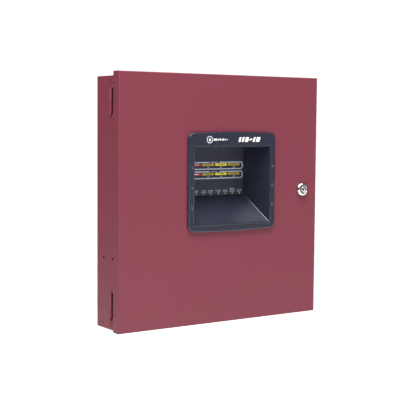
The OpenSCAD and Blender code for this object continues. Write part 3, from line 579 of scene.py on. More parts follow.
# Radius of the rounded edges in millimetres, and the nodes that have it
BEVELS = {
    0.15: ("main_board",),
    0.2: ("chassis_plate", "knockout_blanks", "transformer_bracket"),
    0.25: ("backbox", "door_panel", "lock_strike", "box_hinge_leaves", "door_hinge_leaves"),
    0.3: ("option_header", "fuse_holders", "heat_sink", "display_plate", "lock_cam", "cam_screw",
          "chassis_nuts", "ground_nut", "acknowledge_button", "silence_button", "reset_button",
          "drill_button"),
    0.4: ("microcontroller", "programming_jumpers", "zone_terminal_block", "power_terminal_block",
          "switch_bodies", "lock_nut"),
    0.5: ("transformer_core", "battery_socket"),
    0.8: ("relays", "piezo_sounder"),
    0.9: ("capacitors",),
    1.5: ("battery_left", "battery_right", "transformer_coil"),
}
bevel_of = {node: width * MM for width, names in BEVELS.items() for node in names}
for node_name in nodes:
    dress(node_name, bevel=bevel_of.get(node_name))


# ---------- Bezel ----------

bezel_low, bezel_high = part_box("bezel")
bezel_x = (bezel_low.x + bezel_high.x) / 2
face_z = (bezel_low.z + bezel_high.z) / 2
face_y = bezel_low.y
lip = 0.35 * MM
flat_y = face_y + lip
rear_y = bezel_high.y
skin_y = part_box("door_panel")[0].y
bow = 2 * MM
face_w = (bezel_high.x - bezel_low.x) / 2
face_h = (bezel_high.z - bezel_low.z) / 2 - bow
# Half sizes and middle of the recess at the face, and at the rear rim
view_w = 72 * MM
view_h = 60 * MM
view_z = face_z - 5.5 * MM
rear_w = 57.5 * MM
rear_h = 37.65 * MM
rear_z = face_z + 13.35 * MM
wall = 1.5 * MM
mouth = 1.9 * MM    # depth of the rounded edge around the opening


def face_loop(inset, y, r=9 * MM):
    """The moulding's outer edge, drawn in by inset, in the plane y."""
    return rounded_loop(bezel_x, face_z, face_w - inset, face_h - inset,
                        max(r - inset, 1.5 * MM), y, bow, 8, 16)


def recess_loop(share, grow=0.0, r=1.6 * MM, y=None):
    """Loop of the recess at share 0 (the face) to 1 (the rear rim)."""
    depth = face_y + mouth + (rear_y - face_y - mouth) * share if y is None else y
    half_w = view_w + (rear_w - view_w) * share + grow
    half_h = view_h + (rear_h - view_h) * share + grow
    return rounded_loop(bezel_x, view_z + (rear_z - view_z) * share, half_w, half_h,
                        max(r + grow, 0.4 * MM), depth, 0.0, 8, 16)


def bezel_moulding():
    """Bowed frame with rolled edges, a chamfered opening and a filleted tapering recess."""
    roll, skirt = 2.0 * MM, 2.2 * MM
    foot_y, hollow_y = skin_y - 0.05 * MM, face_y + 2.4 * MM
    loops = [face_loop(skirt, foot_y), face_loop(0.0, foot_y)]
    for k in range(7):
        a = math.radians(90 * k / 6)
        loops.append(face_loop(roll * (1 - math.cos(a)), flat_y + roll * (1 - math.sin(a))))
    for grow, sink in ((2.1, 0.35), (1.85, 0.30), (1.55, 0.10), (1.25, 0.0), (0.95, 0.02),
                       (0.6, 0.18), (0.25, 0.5), (0.05, 1.0)):
        loops.append(recess_loop(0, grow * MM, 0.5 * MM, face_y + sink * MM))
    loops.extend(recess_loop(k / 8) for k in range(9))
    loops.append(recess_loop(1, wall))
    loops.append(recess_loop(0.12, wall))
    loops.append(recess_loop(0.10, 3.5 * MM, 1.2 * MM, hollow_y))
    loops.append(face_loop(skirt, hollow_y))
    obj = Shape().loft(loops, ring=True).piece("bezel_moulding", "bezel_plastic", "door",
                                               smooth=50)
    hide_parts("bezel")
    return obj


def stud_spots():
    """X and Z of the moulding's six studs."""
    nut_low, nut_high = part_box("bezel_push_nuts")
    nut_r = 3.1 * MM
    reach = (nut_high.x - nut_low.x) / 2 - nut_r
    middle = (nut_low.z + nut_high.z) / 2
    step = (nut_high.z - nut_low.z) / 2 - nut_r
    return [(bezel_x + s * reach, middle + k * step) for s in (-1, 1) for k in (-1, 0, 1)]


def stud_marks():
    """A domed stud end seated in each dimple, and a small raised tick above it, both in a paler
    plastic that is partly a painted highlight of the dimples' rims.
    """
    shape, ticks = Shape(), Shape()
    for x, z in stud_spots():
        shape.lathe([(0.05, 0.05), (0.6, 0.12), (1.05, 0.35), (1.3, 0.75), (1.35, 1.1)], (x, z),
                    flat_y, 24)
        ticks.pad(x - 0.3 * MM, z + 4.3 * MM, 1.5 * MM, 0.8 * MM, flat_y - 0.2 * MM, flat_y)
    shape.piece("stud_ends", "stud_plastic", "door", "bezel_plastic")
    ticks.piece("stud_ticks", "stud_plastic", "door", "bezel_plastic")


def cut_dimples(obj):
    """Hollows the dimples out of the moulding's face."""
    cutter = Shape()
    close = 2e-6
    for x, z in stud_spots():
        cutter.lathe([(0.05, -1.35), (2.5, -1.35), (2.4, -0.1), (2.2, 0.15), (1.8, 0.6),
                      (1.2, 0.95), (0.05, 1.05)], (x, z), flat_y, 24)
    tool = cutter.piece("dimple_tool", "bezel_plastic", "door")
    cut = obj.modifiers.new("dimples", "BOOLEAN")
    cut.operation = "DIFFERENCE"
    cut.solver = "EXACT"
    cut.object = tool
    bpy.context.view_layer.objects.active = obj
    with bpy.context.temp_override(object=obj, active_object=obj):
        bpy.ops.object.modifier_apply(modifier=cut.name)
    bpy.data.objects.remove(tool)
    bm = bmesh.new()
    bm.from_mesh(obj.data)
    bmesh.ops.remove_doubles(bm, verts=bm.verts, dist=close)
    bmesh.ops.dissolve_degenerate(bm, dist=close, edges=bm.edges)
    mark_sharp(bm, 32)
    bm.to_mesh(obj.data)
    bm.free()
    weight_normals(obj, True)


cut_dimples(bezel_moulding())
stud_marks()


# ---------- Printed graphics: bars in place of words, and a plain pictogram ----------

print_depth = 0.12 * MM
plate_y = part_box("display_plate")[0].y
led_reach = 2 * MM    # from an indicator's middle to the end of its flange


def bars(shape, rng, x, z, width, height, y):
    """A word-like run of small upright bars, carrying no letters, centred on x, z."""
    stroke = height * 0.42
    left = x - width / 2
    while left < x + width / 2 - stroke:
        w = stroke * rng.uniform(0.8, 1.5)
        h = height * rng.choice((0.62, 0.85, 1.0))
        shape.pad(left + w / 2, z, w, h, y - print_depth, y, 0.1 * MM, 0.02 * MM)
        left += w + height * 0.32 * rng.choice((0.8, 1.0, 2.2))
    return shape


def corner_arcs(left, right, low, high, r):
    """Points of a rectangle's four round corners, clockwise from the upper right."""
    points = []
    for x, z, start in ((right - r, high - r, 90), (right - r, low + r, 0),
                        (left + r, low + r, -90), (left + r, high - r, -180)):
        for step in range(0, 91, 15):
            a = math.radians(start - step)
            points.append((x + r * math.cos(a), z + r * math.sin(a)))
    return points


def zone_outline(index, low, high, rng):
    """One zone's round-cornered outline and the title in its gap."""
    left, right, r = bezel_x - 54.5 * MM, bezel_x + 54.5 * MM, 3.0 * MM
    gap_left, gap_right = bezel_x - 10.0 * MM, bezel_x + 9.5 * MM
    ribbon_x = right + 0.3 * MM
    outline = Shape()
    path = [(gap_right, high), *corner_arcs(left, right, low, high, r), (gap_left, high)]
    ribbon(outline, path, 0.8 * MM, plate_y)
    ribbon(outline, [(ribbon_x, high - r), (ribbon_x, low + r)], 1.0 * MM, plate_y - 0.02 * MM)
    outline.piece(f"zone_outline_{index + 1}", "silver_ink", "cabinet", "display_film")
    title = bars(Shape(), rng, (gap_left + gap_right) / 2, high, 12 * MM, 1.7 * MM, plate_y)
    title.piece(f"zone_title_{index + 1}", "silver_ink", "cabinet", "display_film")


def zone_panel(index):
    """One zone's outline with its title gap, four pills and their worded bars."""
    rng = random.Random(20 + index)
    red_low, red_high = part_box("alarm_leds")
    led_z = red_high.z - led_reach if index == 0 else red_low.z + led_reach
    zone_outline(index, led_z - 2.7 * MM, led_z + 7.9 * MM, rng)
    pitch = 25.2 * MM
    pill_z = led_z + 4.2 * MM
    looks = (("red_ink", "white_ink"), ("olive_ink", "black_ink"), ("yellow_ink", "black_ink"),
             ("olive_ink", "black_ink"))
    for k, (ground, letters) in enumerate(looks):
        x = bezel_x + (k - 1.5) * pitch
        pill = Shape().pad(x, pill_z, 22.8 * MM, 3.9 * MM, plate_y - print_depth, plate_y,
                           1.7 * MM, 0.04 * MM)
        pill.piece(f"zone_{index + 1}_pill_{k + 1}", ground, "cabinet", "display_film")
        words = bars(Shape(), rng, x, pill_z, 13.5 * MM, 1.8 * MM, plate_y - print_depth)
        words.piece(f"zone_{index + 1}_bars_{k + 1}", letters, "cabinet", "display_film")


def ribbon(shape, path, half, y):
    """Flat printed line of half width along an open path of (x, z) points."""
    left, right = [], []
    for i, (x, z) in enumerate(path):
        ax, az = path[min(i + 1, len(path) - 1)]
        bx, bz = path[max(i - 1, 0)]
        along = Vector((ax - bx, az - bz)).normalized()
        left.append((x - along.y * half, z + along.x * half))
        right.append((x + along.y * half, z - along.x * half))
    base = len(shape.verts)
    count = len(path)
    for depth in (0.0, print_depth):
        for side in (left, right):
            shape.verts.extend(Vector((x, y - depth, z)) for x, z in side)
    back_l, back_r, front_l, front_r = (base + n * count for n in range(4))
    for i in range(count - 1):
        for a, b in ((back_l, back_r), (front_r, front_l), (front_l, back_l), (back_r, front_r)):
            shape.faces.append((a + i, a + i + 1, b + i + 1, b + i))
    for i in (0, count - 1):
        shape.faces.append((back_l + i, back_r + i, front_r + i, front_l + i))


def system_labels():
    """Two or three short rows of bars over each indicator in the bottom row."""
    led_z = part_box("yellow_leds")[0].z + led_reach
    pitch, row_pitch = 14.1 * MM, 2.35 * MM
    shape = Shape()
    rng = random.Random(7)
    for k in range(8):
        x = bezel_x + (k - 3.5) * pitch
        for row in range(3 if k == 6 else 2):
            bars(shape, rng, x, led_z + 3 * MM + row * row_pitch, rng.uniform(7.5, 10.5) * MM,
                 1.45 * MM, plate_y)
    shape.piece("system_label_bars", "silver_ink", "cabinet", "display_film")


def stripe(shape, x, z, width, height, lean, y):
    """Raised parallelogram from x, leaning by lean at its top."""
    corners = ((0, -1, -1), (width, -1, -1), (width, 1, 1), (0, 1, 1))
    loops = [[(x + dx + lean * 0.5 * up, y - depth, z + dz * height / 2) for dx, dz, up in corners]
             for depth in (0.0, print_depth)]
    shape.loft(loops, True, True)


def raised_line():
    """Faint moulded row of bars along the bezel's lower rail, coloured near black as painted shade
    for the moulding's relief.
    """
    rng = random.Random(3)
    shape = Shape()
    z = bezel_low.z + bow + 5.6 * MM
    pitch = 20.5 * MM
    for k in range(5):
        x = bezel_x + (k - 2) * pitch
        bars(shape, rng, x, z, 16 * MM, 3.4 * MM, flat_y + 0.02 * MM)
    shape.piece("lower_rail_bars", "faint_ink", "door", "bezel_plastic")


def bezel_marks():
    """A ringed drop and plain bars on the bezel's top rail."""
    y = flat_y + 0.02 * MM
    z = bezel_high.z - 12.0 * MM
    badge = Shape()
    ring_x, ring_r, drop_r = bezel_x - 44.9 * MM, 5.0 * MM, 1.7 * MM
    ring = [(ring_x + ring_r * math.cos(math.tau * k / 40), z + ring_r * math.sin(math.tau * k / 40))
            for k in range(41)]
    ribbon(badge, ring, 0.40 * MM, y)
    drop = []
    for k in range(28):
        a = math.tau * k / 28
        pull = 1.0 + 0.75 * max(0.0, math.sin(a)) ** 3
        drop.append((ring_x + drop_r * math.cos(a) * (1 - 0.35 * max(0.0, math.sin(a))),
                     y - print_depth, z - 0.6 * MM + drop_r * math.sin(a) * pull))
    badge.loft([[(px, y, pz) for px, _, pz in drop], drop], True, True)
    badge.piece("badge_ring_and_drop", "white_ink", "door", "bezel_plastic")
    small = bars(Shape(), random.Random(11), bezel_x - 23.5 * MM, z, 28 * MM, 3.2 * MM, y)
    small.piece("badge_bars", "white_ink", "door", "bezel_plastic")
    bold = Shape()
    tall = 7.4
    for start, width, height in ((10.5, 3.6, tall), (16.6, 3.6, tall), (22.7, 6.0, tall),
                                 (31.2, 4.4, 2.4), (38.2, 3.6, tall), (44.3, 7.0, tall)):
        stripe(bold, bezel_x + start * MM, z, width * MM, height * MM, 2.6 * MM, y)
    bold.piece("title_bars", "white_ink", "door", "bezel_plastic")


for zone in (0, 1):
    zone_panel(zone)
system_labels()
bezel_marks()
raised_line()


# ---------- Lock ----------

lock_low, lock_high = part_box("lock_body")
lock_at = ((lock_low.x + lock_high.x) / 2, (lock_low.z + lock_high.z) / 2)


def lock_head():
    """Spun head: rolled skirt, shallow dome, and a seat for the plug, with its barrel behind."""
    bore, barrel, face_r, skirt = 6.06, 9.3, 7.7, 0.75
    rim = (lock_high.x - lock_low.x) / 2 / MM
    rear = (lock_high.y - skin_y) / MM
    front = (lock_low.y - skin_y) / MM + 0.05
    profile = [(bore, rear), (barrel, rear), (barrel, 0.1), (rim - 0.3, 0.02), (rim, -0.3),
               (rim, -skirt)]
    for k in range(1, 13):
        a = math.radians(90 * k / 12)
        profile.append((face_r + (rim - face_r) * math.cos(a),
                        -skirt + (front + skirt) * math.sin(a)))
    profile += [(face_r - 0.5, front - 0.02), (bore + 0.25, front - 0.02), (bore, front + 0.3)]
    shape = Shape().lathe(profile, lock_at, skin_y, 72, True)
    obj = shape.piece("lock_head", "lock_chrome", "door", "lock_chrome", 40)
    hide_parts("lock_body")


def plug_ring():
    """Raised ring around the keyway, turned with the plug."""
    profile = ((2.5, 0.0), (2.7, -0.32), (3.2, -0.42), (3.7, -0.25), (3.9, 0.0), (3.2, 0.05))
    shape = Shape().lathe(profile, lock_at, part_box("lock_plug")[0].y, 48, True)
    shape.piece("plug_ring", "lock_chrome", "lock_cylinder")


lock_head()
plug_ring()


# ---------- Hinge pockets ----------


def hinge_pockets():
    """Formed collar over each end of the hinge windows, and weld spots on the leaf between."""
    wall_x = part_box("backbox")[0].x
    pin_low, pin_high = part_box("hinge_pins")
    axis_y = (pin_low.y + pin_high.y) / 2
    leaf_half = 27 * MM
    hinge_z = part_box("box_hinge_leaves")[1].z - leaf_half
    # Distance in from the collar's rim, and height over the wall
    section = ((0.0, -0.4), (0.3, 1.0), (0.9, 1.8), (1.6, 1.5), (2.4, 0.3), (3.1, 0.2),
               (3.8, 1.2), (4.5, 1.75), (5.2, 1.3), (5.7, 0.3), (6.0, -0.4))
    reach, rise, squash, foot = 8.4, 5.9, 0.86, 18.1
    centre_y = axis_y - 1.2 * MM
    for tag, middle in (("top", hinge_z), ("bottom", -hinge_z)):
        for end, way in (("upper", 1), ("lower", -1)):
            loops = []
            for k in range(25):
                a = math.pi * k / 24
                loops.append([(wall_x - height * MM,
                               centre_y + (reach - inward) * MM * math.cos(a),
                               middle + way * (foot + (rise - inward * squash) * math.sin(a)) * MM)
                              for inward, height in section])
            collar = Shape().loft(loops, True, True)
            collar.piece(f"hinge_collar_{tag}_{end}", "red_enamel", "cabinet",
                         "red_enamel", 60)
        spots = Shape()
        for dz in (-12 * MM, 12 * MM):
            loops = []
            for radius, lift in ((1.3, 0.0), (1.1, 0.35), (0.6, 0.5), (0.3, 0.3), (0.02, 0.2)):
                loops.append([(wall_x + (1.2 - lift) * MM,
                               axis_y + (5.2 + radius * math.cos(a)) * MM,
                               middle + dz + radius * MM * math.sin(a))
                              for a in (math.tau * k / 16 for k in range(16))])
            spots.loft(loops, True, True)
        spots.piece(f"hinge_weld_spots_{tag}", "red_enamel", "cabinet")


def hole_shade_plugs():
    """Near-black dished pieces in the middle pair of small holes in each side wall: painted shade
    standing in for the dark inside seen through the holes.
    """
    low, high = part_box("backbox")
    profile = ((1.35, -1.6), (1.4, 0), (2.0, 0.02), (2.0, 0.25), (1.75, 0.4), (1.4, 0.25),
               (1.0, -0.7), (0.02, -0.8))
    hole_ys, hole_z = (-22 * MM, -49 * MM), -82 * MM
    plugs = Shape()
    for wall_x, out in ((low.x, -1), (high.x, 1)):
        for y in hole_ys:
            plugs.turned(profile, (wall_x, y, hole_z), (out, 0, 0))
    plugs.piece("hole_shade_plugs", "matt_rubber", "cabinet", "black_plastic")


def shade_hinge_leaves():
    """The door's hinge leaves: enamelled knuckles, and painted shade, near black, on the leaf where
    it runs inside beside the barrel.
    """
    obj = nodes["door_hinge_leaves"]
    low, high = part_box("hinge_pins")
    knuckle_r = 2.45 * MM
    axis = obj.matrix_world.inverted() @ Vector(((low.x + high.x) / 2, (low.y + high.y) / 2, 0))
    g = Graph("hinge_leaf_gap_shade")
    flat = g.stretched((1, 1, 0))
    away = g.add("ShaderNodeVectorMath", operation="DISTANCE")
    g.link(flat, away.inputs[0])
    away.inputs[1].default_value = (axis.x, axis.y, 0)
    grain = g.noise(1500, 2)
    red = g.blend(grain, 0.3, 0.8, 1, shade(RED, 0.9), shade(RED, 1.2))
    gap_shade = g.blend(g.noise(300, 3), 0.3, 0.7, 1, (0.012, 0.012, 0.014), (0.03, 0.03, 0.035))
    # Painted shade: near black on the leaf beyond the knuckle, where the gap beside the barrel is in
    # shade.
    g.colour(g.mix(g.span(away.outputs["Value"], knuckle_r, knuckle_r + 0.2 * MM), red, gap_shade))
    g.roughness(grain, 0.42, 0.52)
    g.bump(grain, 0.00002, 0.6)
    dress("door_hinge_leaves", g.material)


hinge_pockets()
hole_shade_plugs()
shade_hinge_leaves()


# ---------- Small parts on the board ----------

board_low, board_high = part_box("main_board")
board_y = board_low.y


def on_board(x, z):
    """A place on the board's front, in millimetres from its lower left corner."""
    return board_low.x + x * MM, board_low.z + z * MM


RESISTOR_SPOTS = (
    [(41 + 3.4 * k, 97, "Z") for k in range(4)]
    + [(43, 72 + 4.2 * k, "X") for k in range(5)]
    + [(236, 78 + 4.6 * k, "X") for k in range(8)]
    + [(236, 124 + 4.6 * k, "X") for k in range(4)]
    + [(66 + 4.0 * k, 21, "Z") for k in range(6)]
    + [(172 + 4.2 * k, 8, "Z") for k in range(4)])
DIODE_SPOTS = [(22, 20 + 5 * k, "X") for k in range(3)] + [(200 + 5 * k, 142, "Z") for k in range(4)]
CHIP_SPOTS = ((42, 136, 7), (42, 118, 8), (66, 6, 7), (182, 24, 4))
DISC_SPOTS = ((56, 110), (56, 128), (60, 144), (93, 24), (96, 9), (232, 70), (166, 24), (206, 56))


def axial_parts(name, spots, profile, material, band_r, band_at, bands):
    """Two-lead parts lying on the board: bodies, colour bands and bent wires."""
    body, stripes, wires = Shape(), [Shape() for _ in bands], Shape()
    lift, tail, bend, wire_r = 1.55 * MM, 1.8 * MM, 0.5 * MM, 0.28 * MM
    for x, z, way in spots:
        px, pz = on_board(x, z)
        along = Vector((1, 0, 0)) if way == "X" else Vector((0, 0, 1))
        start = Vector((px, board_y - lift, pz))
        body.turned(profile, start, along)
        for stripe_shape, at in zip(stripes, band_at):
            stripe_shape.turned([(band_r * 0.9, at - 0.01), (band_r, at), (band_r, at + 0.5),
                                 (band_r * 0.9, at + 0.51)], start, along)
        length = profile[-1][1] * MM
        for near, side in ((0.1 * MM, -1), (length - 0.1 * MM, 1)):
            foot = start + along * (tail * side + (length if side > 0 else 0))
            wires.tube([start + along * near, foot - along * bend * side,
                        foot + Vector((0, bend, 0)), Vector((foot.x, board_y, foot.z))], wire_r)
    body.piece(f"{name}_bodies", material, "cabinet", "circuit_board")
    wires.piece(f"{name}_wires", "zinc_steel", "cabinet")
    for shape, band in zip(stripes, bands):
        shape.piece(f"{name}_bands_{band}", band, "cabinet", "circuit_board")


def dual_inline_chips():
    """Narrow packages with two rows of bent pins."""
    bodies, pins = Shape(), Shape()
    pitch, wide, pin_w = 2.54 * MM, 6.3 * MM, 1.2 * MM
    leg_out, shoulder_out = 3.65 * MM, 3.4 * MM
    for x, z, pairs in CHIP_SPOTS:
        px, pz = on_board(x, z)
        bodies.pad(px, pz, pairs * pitch + 0.6 * MM, wide, board_y - 3.6 * MM,
                   board_y - 0.5 * MM, 0.3 * MM, 0.25 * MM)
        for k in range(pairs):
            at = px + (k - (pairs - 1) / 2) * pitch
            for side in (-1, 1):
                pins.pad(at, pz + side * leg_out, pin_w, 0.5 * MM, board_y - 2.2 * MM, board_y,
                         0.1 * MM, 0.08 * MM)
                pins.pad(at, pz + side * shoulder_out, pin_w, 0.8 * MM, board_y - 2.3 * MM,
                         board_y - 1.9 * MM, 0.1 * MM, 0.08 * MM)
    bodies.piece("chip_bodies", "black_plastic", "cabinet")
    pins.piece("chip_pins", "zinc_steel", "cabinet")


def controller_legs():
    """Fine leads along all four sides of the controller, and two rows of bars printed on it."""
    low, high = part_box("microcontroller")
    middle = (low + high) / 2
    legs = Shape()
    pitch, wide, long, out = 1.27 * MM, 0.5 * MM, 1.6 * MM, 0.6 * MM
    for along_x, count in ((True, int((high.x - low.x) / pitch) - 2),
                           (False, int((high.z - low.z) / pitch) - 2)):
        for k in range(count):
            shift = (k - (count - 1) / 2) * pitch
            for side, corner in ((-1, low), (1, high)):
                if along_x:
                    x, z, w, h = middle.x + shift, corner.z + side * out, wide, long
                else:
                    x, z, w, h = corner.x + side * out, middle.z + shift, long, wide
                legs.pad(x, z, w, h, board_y - 0.5 * MM, board_y, 0.05 * MM)
    legs.piece("controller_legs", "zinc_steel", "cabinet")
    words = Shape()
    rng = random.Random(5)
    for row in (-0.5, 0.5):
        bars(words, rng, middle.x, middle.z + row * 3.4 * MM, 17 * MM, 1.6 * MM,
             low.y + 0.02 * MM)
    words.piece("controller_print", "grey_ink", "cabinet", "black_plastic")


def disc_capacitors():
    """Thin ceramic discs standing on two wires."""
    discs, wires = Shape(), Shape()
    middle = board_y - 4.2 * MM
    profile = ((0.05, -1.0), (2.0, -0.95), (2.7, -0.45), (2.8, 0), (2.7, 0.45), (2.0, 0.95),
               (0.05, 1.0))
    for x, z in DISC_SPOTS:
        px, pz = on_board(x, z)
        discs.turned(profile, (px, middle, pz), (0, 0, 1), 24)
        for wire_x in (px - 1.3 * MM, px + 1.3 * MM):
            wires.tube([(wire_x, middle, pz), (wire_x, board_y, pz)], 0.28 * MM)
    discs.piece("disc_capacitors", "ceramic", "cabinet", "relay_case")
    wires.piece("disc_wires", "zinc_steel", "cabinet")


def crystal_can():
    """Flat oval can on its flange, below the controller."""
    can = Shape()
    px, pz = on_board(140, 10)
    can.pad(px, pz, 11 * MM, 4.6 * MM, board_y - 3.6 * MM, board_y - 0.3 * MM, 2.2 * MM, 0.4 * MM)
    can.pad(px, pz, 12.6 * MM, 5.6 * MM, board_y - 0.8 * MM, board_y - 0.05 * MM, 2.6 * MM)
    can.piece("crystal_can", "zinc_steel", "cabinet")


def outline(shape, low, high):
    """Printed rectangle around a part's box, a millimetre clear of it."""
    margin = 1.0 * MM
    x0, x1, z0, z1 = low.x - margin, high.x + margin, low.z - margin, high.z + margin
    corners = ((x0, z0), (x1, z0), (x1, z1), (x0, z1), (x0, z0))
    for a, b in zip(corners, corners[1:]):
        ribbon(shape, [a, b], 0.11 * MM, board_y)


def board_print():
    """Screen-printed outlines around the parts and short bars in place of words."""
    shape = Shape()
    rng = random.Random(12)
    for name in ("microcontroller", "heat_sink", "option_header", "piezo_sounder",
                 "zone_terminal_block", "power_terminal_block", "battery_socket"):
        outline(shape, *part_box(name))
    low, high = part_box("zone_terminal_block")
    poles = 24
    pitch = (high.x - low.x) / poles
    for k in range(0, poles, 2):
        bars(shape, rng, low.x + (k + 1) * pitch, low.z - 4.2 * MM, 10 * MM, 1.5 * MM, board_y)
    low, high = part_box("relays")
    for k in range(3):
        z = low.z + (k + 0.5) * (high.z - low.z) / 3
        bars(shape, rng, high.x + 8 * MM, z, 9 * MM, 1.5 * MM, board_y)
    low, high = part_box("power_terminal_block")
    for k in range(5):
        bars(shape, rng, high.x + 7 * MM, low.z + (k + 0.5) * (high.z - low.z) / 5, 8 * MM,
             1.5 * MM, board_y)
    px, pz = on_board(112, 28)
    bars(shape, rng, px, pz, 26 * MM, 2.2 * MM, board_y)
    shape.piece("board_print", "silk_ink", "cabinet", "circuit_board")


def solder_joints():
    """Domed solder fillets where the large parts' pins pass through the board's back."""
    shape = Shape()
    back = board_high.y
    fillet = ((1.1, 0), (0.8, 0.25), (0.4, 0.8), (0.3, 1.3))
    for name, rows, columns in (("zone_terminal_block", 1, 24), ("relays", 9, 2),
                                ("option_header", 8, 2), ("fuse_holders", 2, 2)):
        low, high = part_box(name)
        for i in range(rows):
            for k in range(columns):
                x = low.x + (k + 0.5) * (high.x - low.x) / columns
                z = low.z + (i + 0.5) * (high.z - low.z) / rows
                shape.turned(fillet, (x, back, z), (0, 1, 0), 10)
    shape.piece("solder_joints", "zinc_steel", "cabinet")


axial_parts("resistor", RESISTOR_SPOTS,
            [(0.3, 0), (1.05, 0.15), (1.15, 0.6), (1.05, 1.4), (0.95, 2.0), (0.95, 4.3),
             (1.05, 4.9), (1.15, 5.7), (1.05, 6.15), (0.3, 6.3)],
            "resistor_body", 1.17, (0.55, 2.1, 3.1, 5.1),
            ("band_brown", "black_ink", "red_ink", "yellow_ink"))
axial_parts("diode", DIODE_SPOTS,
            [(0.3, 0), (1.2, 0.1), (1.3, 0.4), (1.3, 4.8), (1.2, 5.1), (0.3, 5.2)],
            "black_plastic", 1.32, (3.9,), ("silk_ink",))
dual_inline_chips()
controller_legs()
disc_capacitors()
crystal_can()
board_print()
solder_joints()


# ---------- Batteries, supply and door card ----------


def battery_dress(side, plus_x_way):
    """A plain label with bars, and polarity marks; the plus sign is at the end plus_x_way."""
    low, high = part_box(f"battery_{side}")
    middle = (low + high) / 2
    front, label_y = low.y, low.y - 0.16 * MM
    label = Shape().pad(middle.x, middle.z - 4 * MM, 96 * MM, 50 * MM, label_y, front, 2 * MM,
                        0.03 * MM)
    label.piece(f"battery_label_{side}", "label_ink", "cabinet", "battery_case")
    rng = random.Random(31)
    top = middle.z + 14 * MM
    words = bars(Shape(), rng, middle.x, top, 60 * MM, 7 * MM, label_y)
    for row in range(4):
        bars(words, rng, middle.x, top - (11 + 5.6 * row) * MM, (84 - 9 * row) * MM, 2.0 * MM,
             label_y)
    words.piece(f"battery_bars_{side}", "grey_ink", "cabinet", "battery_case")
    signs = Shape()
    long, thin, sign_z = 6 * MM, 1.5 * MM, high.z - 11 * MM
    for way, x in ((-1, low.x + 12 * MM), (1, high.x - 12 * MM)):
        signs.pad(x, sign_z, long, thin, label_y, front, 0.2 * MM)
        if way == plus_x_way:
            signs.pad(x, sign_z, thin, long, label_y, front, 0.2 * MM)
    signs.piece(f"battery_signs_{side}", "silver_ink", "cabinet", "battery_case")


def terminal_clips():
    """Sleeved push-on clips where the leads meet the battery terminals."""
    low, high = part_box("battery_terminals")
    y = (low.y + high.y) / 2
    reach = 2.4 * MM
    link_low, link_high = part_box("battery_link_lead")
    lead_r = 1.3 * MM
    spots = ((low.x + reach, "red_insulation"), (high.x - reach, "black_insulation"),
             (link_low.x + lead_r, "grey_insulation"), (link_high.x - lead_r, "grey_insulation"))
    for k, (x, insulation) in enumerate(spots):
        z0 = high.z - 3.2 * MM
        loops = []
        for wide, deep, lift in ((3.3, 1.5, 0.0), (3.5, 1.7, 0.4), (3.5, 1.7, 6.0),
                                 (2.6, 1.9, 8.4), (1.75, 1.75, 9.6), (1.7, 1.7, 11.5)):
            loops.append([(x + wide * MM * math.cos(a), y + deep * MM * math.sin(a),
                           z0 + lift * MM) for a in (math.tau * n / 24 for n in range(24))])
        Shape().loft(loops, True, True).piece(f"terminal_clip_{k + 1}", insulation, "cabinet")


def door_card():
    """Bars and a plain block diagram printed on the card inside the door."""
    low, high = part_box("door_label")
    y = high.y + print_depth
    shape = Shape()
    rng = random.Random(44)
    for row in range(6):
        bars(shape, rng, (low.x + high.x) / 2, high.z - (12 + row * 5.0) * MM,
             (high.x - low.x) * 0.78, 2.0 * MM, y)
    x0, x1, tall = low.x + 12 * MM, low.x + 38 * MM, 14 * MM
    for k in range(4):
        z = low.z + (16 + 26 * k) * MM
        middle = z + tall / 2
        ribbon(shape, [(x0, z), (x1, z), (x1, z + tall), (x0, z + tall), (x0, z)], 0.25 * MM, y)
        ribbon(shape, [(x1, middle), (x1 + 18 * MM, middle)], 0.2 * MM, y)
        bars(shape, rng, x1 + 32 * MM, middle, 22 * MM, 2.0 * MM, y)
    shape.piece("door_card_print", "card_ink", "door", "paper_label")


battery_dress("left", -1)
battery_dress("right", 1)
terminal_clips()
door_card()


# ---------- Floor, light and camera ----------


def floor():
    """Wide white floor, clear below the wall-mounted object."""
    half, drop = 3.2, 0.62
    z = cad_box[0].z - drop
    corners = [(-half, -half, z), (half, -half, z), (half, half, z), (-half, half, z)]
    mesh = bpy.data.meshes.new("floor")
    mesh.from_pydata(corners, [], [(0, 1, 2, 3)])
    obj = bpy.data.objects.new("floor", mesh)
    scene.collection.objects.link(obj)
    obj.data.materials.append(studio_paper("studio_paper"))


def softbox(name, place, target, size, power, colour=(1, 1, 1)):
    """Rectangular light of size (width, height) that faces target."""
    data = bpy.data.lights.new(name, "AREA")
    data.shape = "RECTANGLE"
    data.size, data.size_y = size
    data.energy = power
    data.color = colour
    obj = bpy.data.objects.new(name, data)
    scene.collection.objects.link(obj)
    obj.location = place
    obj.rotation_euler = (Vector(target) - Vector(place)).to_track_quat("-Z", "Y").to_euler()


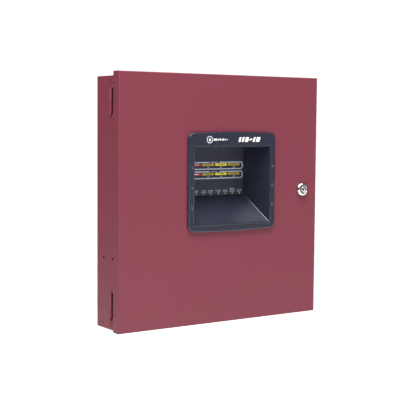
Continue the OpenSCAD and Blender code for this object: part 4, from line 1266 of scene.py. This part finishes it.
def studio():
    """White surroundings for the camera, a dim room for everything else, and softboxes."""
    world = bpy.data.worlds.new("studio")
    world.use_nodes = True
    scene.world = world
    tree = world.node_tree
    tree.nodes.clear()
    out = tree.nodes.new("ShaderNodeOutputWorld")
    path = tree.nodes.new("ShaderNodeLightPath")
    mix = tree.nodes.new("ShaderNodeMixShader")
    tree.links.new(path.outputs["Is Camera Ray"], mix.inputs["Fac"])
    room, backdrop = ((0.95, 0.97, 1.0, 1), 0.06), ((1, 1, 1, 1), 1.1)
    for place, (colour, strength) in enumerate((room, backdrop), 1):
        ground = tree.nodes.new("ShaderNodeBackground")
        ground.inputs["Color"].default_value = colour
        ground.inputs["Strength"].default_value = strength
        tree.links.new(ground.outputs[0], mix.inputs[place])
    tree.links.new(mix.outputs[0], out.inputs["Surface"])
    softbox("key_high", (0.25, -0.95, 2.0), (0.05, -0.05, 0.0), (1.5, 0.9), 52, (0.95, 0.98, 1.0))
    softbox("front_low", (-0.6, -2.2, -0.3), (0, 0, 0), (1.2, 0.5), 8)
    softbox("right_card", (1.6, -2.1, -0.1), (0, 0, 0), (2.4, 2.4), 4.5, (1.0, 0.96, 0.93))
    softbox("rear_fill", (0.7, 1.9, 1.3), (0, 0, 0), (1.6, 1.6), 22)
    softbox("top_left", (-1.5, -0.9, 1.7), (0, 0, 0), (1.2, 1.0), 34)
    softbox("strip_top", (-0.8, -0.45, 1.9), (0.0, -0.05, 0.0), (1.2, 0.5), 46)


def camera():
    """Placed from a fit to the enclosure's corners; it looks in from the left, slightly down."""
    data = bpy.data.cameras.new("camera")
    data.lens = 92.66
    data.sensor_width = 36.0
    data.clip_start = 0.05
    obj = bpy.data.objects.new("camera", data)
    scene.collection.objects.link(obj)
    place = (-0.9261, -1.3757, 0.1212)
    yaw, pitch, roll = math.radians(34.078), math.radians(-4.309), math.radians(0.437)
    turn = (Matrix.Rotation(-yaw, 4, "Z") @ Matrix.Rotation(math.pi / 2 + pitch, 4, "X")
            @ Matrix.Rotation(roll, 4, "Z"))
    obj.matrix_world = Matrix.Translation(place) @ turn
    scene.camera = obj


floor()
studio()
camera()
scene.view_settings.view_transform = "Standard"
scene.view_settings.look = "None"
